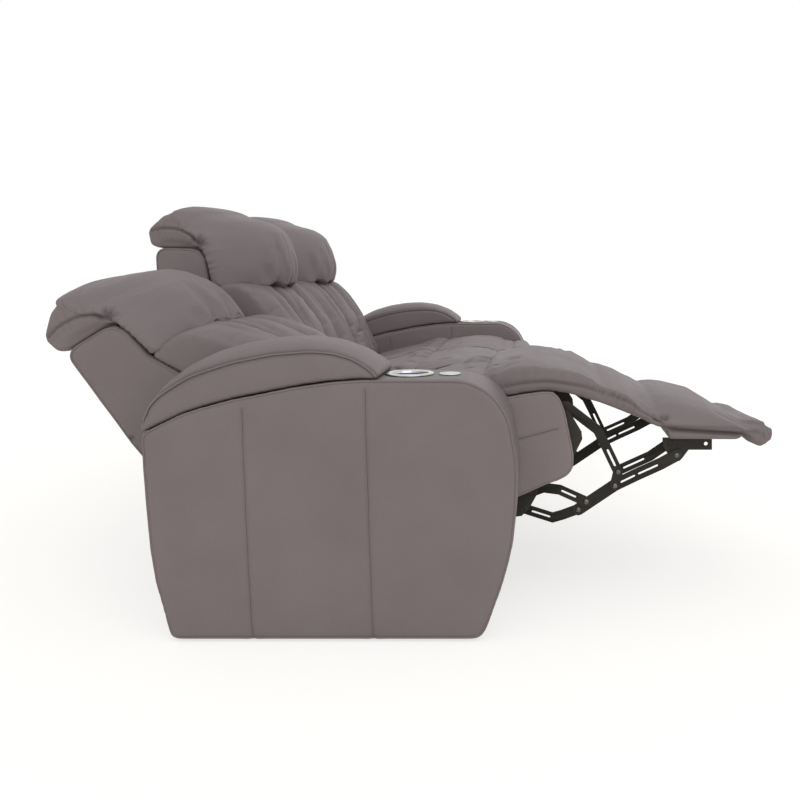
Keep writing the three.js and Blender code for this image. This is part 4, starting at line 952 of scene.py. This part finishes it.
def plumped(mesh, held, cap, slack):
    """The cover after air has filled it for a moment. The held points stay, and none moves past cap."""
    carrier = on_carrier(mesh)
    pinned = carrier.vertex_groups.new(name="held")
    pinned.add([int(i) for i in held], 1.0, "REPLACE")
    cloth = carrier.modifiers.new("cloth", "CLOTH")
    cloth.settings.quality = 5
    cloth.settings.mass = 0.3
    cloth.settings.tension_stiffness = 10
    cloth.settings.compression_stiffness = 10
    cloth.settings.shear_stiffness = 3
    cloth.settings.bending_stiffness = 0.2
    cloth.settings.use_pressure = True
    cloth.settings.uniform_pressure_force = fill_pressure
    cloth.settings.shrink_min = -slack
    cloth.settings.vertex_group_mass = "held"
    cloth.settings.effector_weights.gravity = 0
    cloth.collision_settings.use_collision = False
    cloth.point_cache.frame_start = 1
    cloth.point_cache.frame_end = fill_moments
    for moment in range(1, fill_moments + 1):
        scene.frame_set(moment)
    before = coordinates(mesh)
    move = coordinates(taken_off(carrier)) - before
    scene.frame_set(1)
    far = np.linalg.norm(move, axis=1)
    move *= (cap * np.tanh(far / cap) / np.maximum(far, 1e-9))[:, None]
    set_coordinates(mesh, before + move)
    return mesh


def finer(mesh):
    """Each face in four, on a rounded surface."""
    return with_modifiers(mesh, [("SUBSURF", {"levels": 1, "render_levels": 1})])


def held_points(mesh, lines, width, away, limit):
    """Points near the sewn lines, and those that face away, to the board or frame behind the piece."""
    cover = Cover(mesh)
    held = set()
    for line in lines:
        held.update(cover.along(cover.lay(line, 0.01), width)[0].tolist())
    facing = cover.normals @ (np.array(away) / np.linalg.norm(away))
    held.update(np.flatnonzero(facing > limit).tolist())
    return sorted(held)


def narrowed(mesh, half=0.2898, soft=0.012):
    """A cushion pressed back where it meets its neighbours."""
    points = coordinates(mesh)
    over = np.maximum(np.abs(points[:, 0]) - half + soft, 0)
    points[:, 0] -= np.sign(points[:, 0]) * (over - soft * np.tanh(over / soft))
    set_coordinates(mesh, points)
    return mesh


cushion_weave = 0.0078
cushion_base = padded_over(cad_copy("cushion", ["middle_seat_cushion"]), cushion_weave, 3)
cushion_held = held_points(cushion_base, [], 0.01, (0, 0, -1), 0.35)
cushion_base = narrowed(finer(plumped(cushion_base, cushion_held, 0.014, 0.02)))
cushion_edge = [(-240, 400), (-120, 412), (0, 425), (60, 432)]
tie_spots = [(-158, 12), (158, 12), (0, 20), (0, -150)]

# How far the filling lifts a cushion's top, in millimetres, by forward place: at its sides and its middle
upright_fill = [(-300, 0, 0), (-240, 15, 0), (-100, 25, 4), (0, 38, 10), (50, 42, 14), (71, 40, 14)]
laid_fill = [(-300, 0, 0), (-240, 15, 0), (-100, 28, 10), (0, 44, 24), (50, 50, 32), (71, 50, 34)]
meeting_push = 0.014


def levelled(cover, fill):
    """The cushion's top lifted by its filling, and its front pushed out to meet the chaise pad."""
    forward, at_sides, at_middle = np.array(fill).T
    place = -1000 * cover.points[:, 1]
    edge = ramp(np.abs(cover.points[:, 0]), 0, 0.288) ** 2
    lift = edge * np.interp(place, forward, at_sides) + (1 - edge) * np.interp(place, forward, at_middle)
    cover.points[:, 2] += lift / 1000 * ramp(cover.normals[:, 2], 0.1, 0.5)
    cover.points[:, 1] -= meeting_push * ramp(-cover.normals[:, 1], 0, 0.6) * (place > 20)
    cover.read_normals()


for number, (seat, shift) in enumerate(seat_shift.items()):
    cushion_shape = cushion_base.copy()
    levelled(Cover(cushion_shape), laid_fill if seat == "near" else upright_fill)
    cushion_cover = Cover(cushion_shape)
    for k, (across, forward) in enumerate(tie_spots):
        cushion_cover.tuft(side(forward, 500, across), 0.008, 0.016, folds=2, length=0.035,
                           seed=10 * number + k)
    for hand in (-1, 1):
        edge_line = cushion_cover.lay([side(*point, hand * 283) for point in cushion_edge])
        cushion_cover.press(edge_line, 0.002, 0.004, puff=0.001, shade=0.3)
    cushion_done = cushion_cover.finished()
    cushion_done.transform(shift)
    placed(f"{seat}_cushion_cover", cushion_done, seat_body[seat], [taupe_leather],
           [f"{seat}_seat_cushion"])

# Chaise pads: one padded apron from the seat over the fold to the footrest. Its boxing is drawn up
# shorter than its top, so both edges ruffle. It bends over the fold of the outer seats.
chaise_parts = {
    "near": ["near_chaise_pad", "near_pad_flap", "near_footrest_pad"],
    "middle": ["middle_chaise_pad", "middle_front_panel"],
    "far": ["far_chaise_pad", "far_pad_flap", "far_footrest_pad"],
}
chaise_bends = {
    "near": ("near_footrest", (-0.60, 0.50), (-0.71, 0.50)),
    "far": ("far_footrest", (-0.356, 0.49), (-0.44, 0.45)),
}

# Side points of its seams in millimetres, forward and up, with the footrest out
boxing_on_seat = [(112, 499), (178, 512), (234, 515), (300, 506), (354, 495), (400, 479)]
boxing_on_foot = [(447, 459), (480, 437), (510, 412)]
crown_edge = [(140, 529), (180, 540), (214, 545), (248, 544), (282, 538), (312, 528), (345, 510)]
board_gap = [(503, 399), (560, 396), (604, 393), (694, 387), (742, 374)]
pad_seam = [(530, 405), (620, 404), (700, 403), (745, 393), (772, 381)]
valley = (500, 478)
pull_spot = (516, 431)
pull_folds = ((-14, 26), (4, 32), (18, 22))
fold_spot = (433.99, 481.03)
hangs_past = (fold_spot[0] - 90, fold_spot[1] - 8)


def folded(points):
    """Side points of the footrest, swung down about the fold."""
    down = fold_spot[0] - fold_spot[1]
    total = fold_spot[0] + fold_spot[1]
    return [(up + down, total - forward) for forward, up in points]


# How far the filling lifts the top of the pads, in millimetres, by the run from the seat to the toe
crown_out = [(60, 0), (76, 20), (110, 30), (140, 26), (175, 18), (240, 6), (290, 8), (344, 18), (393, 15),
             (430, 5), (464, -9), (503, -17), (545, -7), (571, -4), (645, -4), (690, -8), (719, -9), (745, 3),
             (765, 7)]
crown_in = [(60, 0), (76, 5), (100, 5), (140, -8), (175, -14), (240, -18), (317, -12), (345, 0), (370, 8),
            (417, 3), (460, -11), (503, -20), (545, -12), (571, -8), (645, -8), (719, -12), (765, 0)]
toe_sag = [(640, 0), (700, -12), (745, -20), (770, -20)]
toe_under = [(700, 0), (735, 8), (752, 10), (770, 0)]
toe_start = 735
toe_length = 30
toe_fill = 0.005
toe_bow = 0.007
toe_tilt = 50
corner_pull = 0.012
corner_drop = 14


def off_table(table, place, **beyond):
    """What a table of (place, amount) pairs gives, between its rows and beyond them."""
    return np.interp(place, *np.array(table).T, **beyond)


def crowned(cover, out):
    """The top of the pads eased to the line that their filling takes, also where they are folded."""
    across = cover.points[:, 0]
    forward = -1000 * cover.points[:, 1]
    up = 1000 * cover.points[:, 2]
    hanging = (forward > hangs_past[0]) & (up < hangs_past[1]) & (not out)
    run = np.where(hanging, fold_spot[0] + fold_spot[1] - up, forward)
    facing = np.where(hanging, -cover.normals[:, 1], cover.normals[:, 2])
    middle = 1 - ramp(np.abs(across), 0, 0.29) ** 2
    toward_toe = ramp(run, 650, 740)
    corner = ramp(across, 0.14, 0.28) ** 2 * toward_toe
    sag = middle * off_table(toe_sag, run) - corner_drop * corner - toe_tilt * across * toward_toe
    lift = off_table(crown_out if out else crown_in, run, right=0) * ramp(facing, 0.1, 0.6)
    lift = (lift + sag * ramp(facing, -0.6, 0.4)) / 1000
    cover.points[:, 2] += np.where(hanging, corner_pull * corner, lift)
    cover.points[:, 1] += np.where(hanging, -lift, corner_pull * corner)
    toe = (toe_fill + toe_bow * middle) * ramp(run, toe_start, toe_start + toe_length)
    under = off_table(toe_under, run) * ramp(-facing, 0.1, 0.6) / 1000
    cover.points[:, 1] += meeting_push * ramp(cover.normals[:, 1], 0, 0.6) * (run < 110)
    cover.points += cover.normals * (toe + under)[:, None]
    cover.read_normals()


for number, (seat, parts) in enumerate(chaise_parts.items()):
    shift = seat_shift[seat]
    out = seat == "near"
    swing = list if out else folded
    boxing = boxing_on_seat + swing(boxing_on_foot)
    chaise = padded_over(cad_copy("chaise", parts, shift.inverted()), cushion_weave, 4)
    sewn_lines = [[side(*point, hand * 286) for point in boxing] for hand in (-1, 1)]
    held = held_points(chaise, sewn_lines, 0.007, (0, 0.25, -1), 0.3)
    chaise = narrowed(finer(plumped(chaise, held, 0.008, 0.0)))
    crowned(Cover(chaise), out)
    chaise_cover = Cover(chaise)
    for hand in (-1, 1):
        ruffle = chaise_cover.lay([side(*point, hand * 276) for point in crown_edge])
        reach, depth = (0.05, 0.009) if hand > 0 else (0.016, 0.004)
        chaise_cover.gather(ruffle, reach, depth, 0.031, seed=50 + number, shade=0.05)
        seam_line = chaise_cover.lay([side(*point, hand * 288) for point in boxing])
        chaise_cover.press(seam_line, 0.0025, 0.0035, puff=0.001, shade=0.5)
        foot_half = seam_line[len(seam_line) // 2:]
        chaise_cover.gather(foot_half, 0.016, 0.007, 0.015, seed=60 + number, shade=0.2)
        for ahead, above in pull_folds:
            start, end = swing([pull_spot, (pull_spot[0] + ahead, pull_spot[1] + above)])
            fold_line = chaise_cover.lay([side(*start, hand * 288), side(*end, hand * 284)])
            chaise_cover.press(fold_line, 0.005, 0.006, puff=0.0015, shade=0.6, taper=0.5)
        board_line = chaise_cover.lay([side(*point, hand * 288) for point in swing(board_gap)])
        chaise_cover.press(board_line, 0.008, 0.005, puff=0.001, shade=1.0, taper=0.15)
        pad_line = chaise_cover.lay([side(*point, hand * 287) for point in swing(pad_seam)])
        chaise_cover.press(pad_line, 0.0015, 0.004, shade=0.4)
    valley_here = swing([valley])[0]
    across_pad = chaise_cover.lay([side(*valley_here, across) for across in np.linspace(-270, 270, 13)])
    chaise_cover.press(across_pad, 0.004, 0.018, shade=0.12, taper=0.1)
    for k, across in enumerate((-158, 158)):
        tie_seed = 70 + 10 * number + k
        chaise_cover.tuft(side(150, 535, across), 0.008, 0.018, folds=2, length=0.04, seed=tie_seed)
    chaise_done = chaise_cover.finished()
    chaise_done.transform(shift)
    fold_over = None
    if seat in chaise_bends:
        footrest, start, end = chaise_bends[seat]
        seat_across = seat_places[seat][0]
        fold_over = (footrest, (seat_across, *start), (seat_across, *end))
    placed(f"{seat}_chaise_cover", chaise_done, seat_body[seat], [taupe_leather], parts,
           fold_over=fold_over)

# Back shells: a padded board in leather, piped along both sides, with a seam across its rear. Each
# carries a cushion and a headrest, and the outer two turn on the hinge plates of their seat frames.
hinge_point = Vector(side(-333.03, 366.03))
laid_back = (Matrix.Translation(hinge_point) @ Matrix.Rotation(radians(-33), 4, "X")
             @ Matrix.Translation(-hinge_point))
back_shift = dict(seat_shift)
back_shift["near"] = seat_shift["near"] @ laid_back
back_body = {"near": "near_back", "middle": "row", "far": "far_back"}
shell_weave = 0.0065
rear_seam = (-700, 620)
for seat, shift in back_shift.items():
    shell_cad = cad_copy("shell", [f"{seat}_back_shell"], shift.inverted())
    shell_cover = Cover(padded_over(shell_cad, shell_weave, 3))
    across_rear = shell_cover.lay([side(*rear_seam, across) for across in np.linspace(-280, 280, 15)])
    shell_cover.press(across_rear, 0.0025, 0.005, puff=0.001, shade=0.7)
    shell_done = shell_cover.finished()
    shell_rims = rim_lines(shell_cover.surface, shell_cad, seat_half, 1.5, 0.0004)
    shell_done.transform(shift)
    placed(f"{seat}_shell_cover", shell_done, back_body[seat], [taupe_leather],
           [f"{seat}_back_shell"])
    welt = along_lines(shell_rims, piping, taupe_leather, shift, Radius=0.0024)
    placed(f"{seat}_shell_piping", welt, back_body[seat], [taupe_leather])

# Back cushions: a fibre-filled cover sewn through in two channels, so that it stands in three lobes.
# It is fixed to the shell along its rear, and creases where the headrest presses on it.
channels_across = (-98, 98)
back_front = [(-226, 452), (-246, 487), (-283, 556), (-310, 618), (-340, 664), (-373, 709), (-410, 746),
              (-440, 758)]
crease_places = (-190, -45, 50, 195)
back_base = padded_over(cad_copy("back", ["middle_back_cushion"]), cushion_weave, 3, fuller=0.005)
channels = [[side(*point, across) for point in back_front] for across in channels_across]
back_held = held_points(back_base, channels, 0.006, (0, 1, -0.45), 0.3)
back_base = narrowed(finer(plumped(back_base, back_held, 0.02, 0.04)))
for number, (seat, shift) in enumerate(back_shift.items()):
    back_cover = Cover(back_base.copy())
    for channel in channels:
        back_cover.press(back_cover.lay(channel), 0.009, 0.016, puff=0.002, shade=0.32)
    for k, across in enumerate(crease_places):
        drop = 90 + 40 * ((k * 7 + number) % 3)
        crease = back_cover.lay([side(-440, 762, across), side(-410, 746, across + 4),
                                 side(-410 + 0.72 * drop, 746 - drop, across - 10)])
        back_cover.press(crease, 0.007, 0.017, puff=0.001, shade=0.22, taper=0.45)
    back_done = back_cover.finished()
    back_done.transform(shift)
    placed(f"{seat}_back_cover", back_done, back_body[seat], [taupe_leather],
           [f"{seat}_back_cushion"])

# Headrests: a fat fibre pillow that wraps over the top of the shell. Its front is gathered into its
# lower edge, and a gusset lets it turn round the shell on both sides.
gusset = [(-742, 938), (-700, 946), (-652, 941), (-610, 918), (-586, 880), (-570, 830), (-557, 778)]
recess = [(-715, 896), (-665, 901), (-614, 890), (-590, 862)]
gusset_pull = (-598, 890)
gusset_folds = ((18, 46), (34, 30), (-20, 40), (40, 8), (-8, -38))
front_crease = [(-412, 772), (-396, 800), (-398, 840), (-418, 893), (-448, 930), (-500, 968)]
low_line = [side(-420, 768, across) for across in np.linspace(-270, 270, 19)]
head_base = padded_over(cad_copy("head", ["middle_headrest"]), cushion_weave, 5, fuller=0.0045)
gusset_lines = [[side(*point, hand * 286) for point in gusset] for hand in (-1, 1)]
head_held = held_points(head_base, gusset_lines + [low_line], 0.007, (0, 0.15, -1), 0.45)
head_base = narrowed(finer(plumped(head_base, head_held, 0.014, 0.02)))

# How far the filling moves the profile out, in millimetres, by degrees from the front over the top
head_middle = (-560, 880)
head_filling = [(-40, 0), (0, 3), (25, 7), (50, 2), (70, -9), (90, -12), (105, -5), (125, 6), (145, 10),
                (165, 8), (185, 0)]
near_filling = [(20, 0), (50, 9), (80, 15), (105, 13), (130, 7), (150, 2), (168, 0), (190, -6), (205, -6),
                (220, 0)]
head_shape = Cover(head_base)
ahead_of_middle = -1000 * head_shape.points[:, 1] - head_middle[0]
above_middle = 1000 * head_shape.points[:, 2] - head_middle[1]
bearing = np.degrees(np.arctan2(above_middle, ahead_of_middle))
outward = np.column_stack([np.zeros(len(bearing)), -ahead_of_middle, above_middle])
outward /= np.linalg.norm(outward, axis=1)[:, None]
facing_out = ramp(np.einsum("ij,ij->i", outward, head_shape.normals), 0.1, 0.6)
head_shape.points += outward * (off_table(head_filling, bearing) / 1000 * facing_out)[:, None]

# The pillow is rounded in plan in front of the shell. The near one is pressed flatter and further back
shell_front = [(700, -540), (778, -557), (830, -570), (880, -586), (918, -610), (941, -650), (1000, -690)]
front_here = off_table(shell_front, 1000 * head_shape.points[:, 2])
ahead = np.maximum(-1000 * head_shape.points[:, 1] - front_here, 0)
roundness = (1 - ramp(np.abs(head_shape.points[:, 0]), 0, 0.295) ** 2) ** 0.6
head_depth = {"near": 0.84, "middle": 1.1, "far": 1.1}
head_shape.read_normals()
scallop_depth = 0.008
scallop_pitch = 0.145
for number, (seat, shift) in enumerate(back_shift.items()):
    pillow = Cover(head_base.copy())
    pillow.points[:, 1] += ahead * (1 - head_depth[seat] * roundness) / 1000
    if seat == "near":
        pillow.points += outward * (off_table(near_filling, bearing % 360) / 1000 * facing_out)[:, None]
    pillow.read_normals()
    head_cover = Cover(pillow.mesh)
    draw = np.random.default_rng(200 + number)
    for hand in (-1, 1):
        gusset_line = head_cover.lay([side(*point, hand * 287) for point in gusset])
        head_cover.press(gusset_line, 0.003, 0.0035, puff=0.001, shade=0.6)
        head_cover.gather(gusset_line, 0.028, 0.004, 0.021, seed=210 + number, shade=0.25)
        recess_line = head_cover.lay([side(*point, hand * 287) for point in recess])
        head_cover.press(recess_line, 0.003, 0.010, puff=0.001, shade=0.25, taper=0.3)
        for forward, above in gusset_folds:
            fold_line = head_cover.lay([side(*gusset_pull, hand * 288),
                                        side(gusset_pull[0] + forward, gusset_pull[1] + above, hand * 286)])
            head_cover.press(fold_line, 0.006, 0.006, puff=0.0015, shade=0.7, taper=0.45)
    low_edge = head_cover.lay(low_line)
    head_cover.gather(low_edge, 0.075, 0.022, 0.13, seed=220 + number, shade=0.15)
    head_cover.gather(low_edge, 0.020, 0.0035, 0.017, seed=240 + number, shade=0.3)
    picked, off, run, _ = head_cover.along(low_edge, 0.06)
    scallop = np.cos(2 * pi * run / scallop_pitch) * np.exp(-(off / 0.03) ** 2)
    head_cover.points[picked, 2] += scallop_depth * scallop
    for across in (-165, -70, 25, 110):
        lean = draw.uniform(-45, -15) / len(front_crease)
        reach = draw.integers(3, 7)
        path = [side(*point, across + lean * i) for i, point in enumerate(front_crease[:reach])]
        crease = head_cover.lay(path)
        head_cover.press(crease, 0.005 * draw.uniform(0.7, 1.0), 0.019, puff=0.001, shade=0.14, taper=0.45)
    head_done = head_cover.finished()
    head_done.transform(shift)
    placed(f"{seat}_headrest_cover", head_done, back_body[seat], [taupe_leather],
           [f"{seat}_headrest"])

# Arm lids: a foam-topped board that closes the bin, crowned like the arm pad of a club chair. A
# piped seam joins its crown to its side band.
lid_seam = [(-417, 487), (-402, 521), (-382, 538), (-338, 567), (-305, 585), (-217, 614), (-129, 632),
            (-41, 639), (4, 636), (48, 624), (84, 602), (102, 583)]
lid_base = padded_over(cad_copy("lid", ["near_arm_lid"], arm_places["near"].inverted()), board_weave, 3)
lid_lines = [[side(*point, hand * 101) for point in lid_seam] for hand in (-1, 1)]
lid_held = held_points(lid_base, lid_lines, 0.006, (0, 0.3, -1), 0.3)
lid_cover = Cover(plumped(lid_base, lid_held, 0.006, 0.0))
for line in lid_lines:
    lid_cover.press(lid_cover.lay(line), 0.0025, 0.005, puff=0.0008, shade=0.6)
lid_done = lid_cover.finished()
for end, arm_place in arm_places.items():
    lid_copy = lid_done.copy()
    lid_copy.transform(arm_place)
    placed(f"{end}_lid_cover", lid_copy, f"{end}_lid", [taupe_leather], [f"{end}_arm_lid"])
    welt = along_lines([lid_cover.lay(line) for line in lid_lines], piping, taupe_leather, arm_place,
                       Radius=0.0022)
    placed(f"{end}_lid_piping", welt, f"{end}_lid", [taupe_leather])
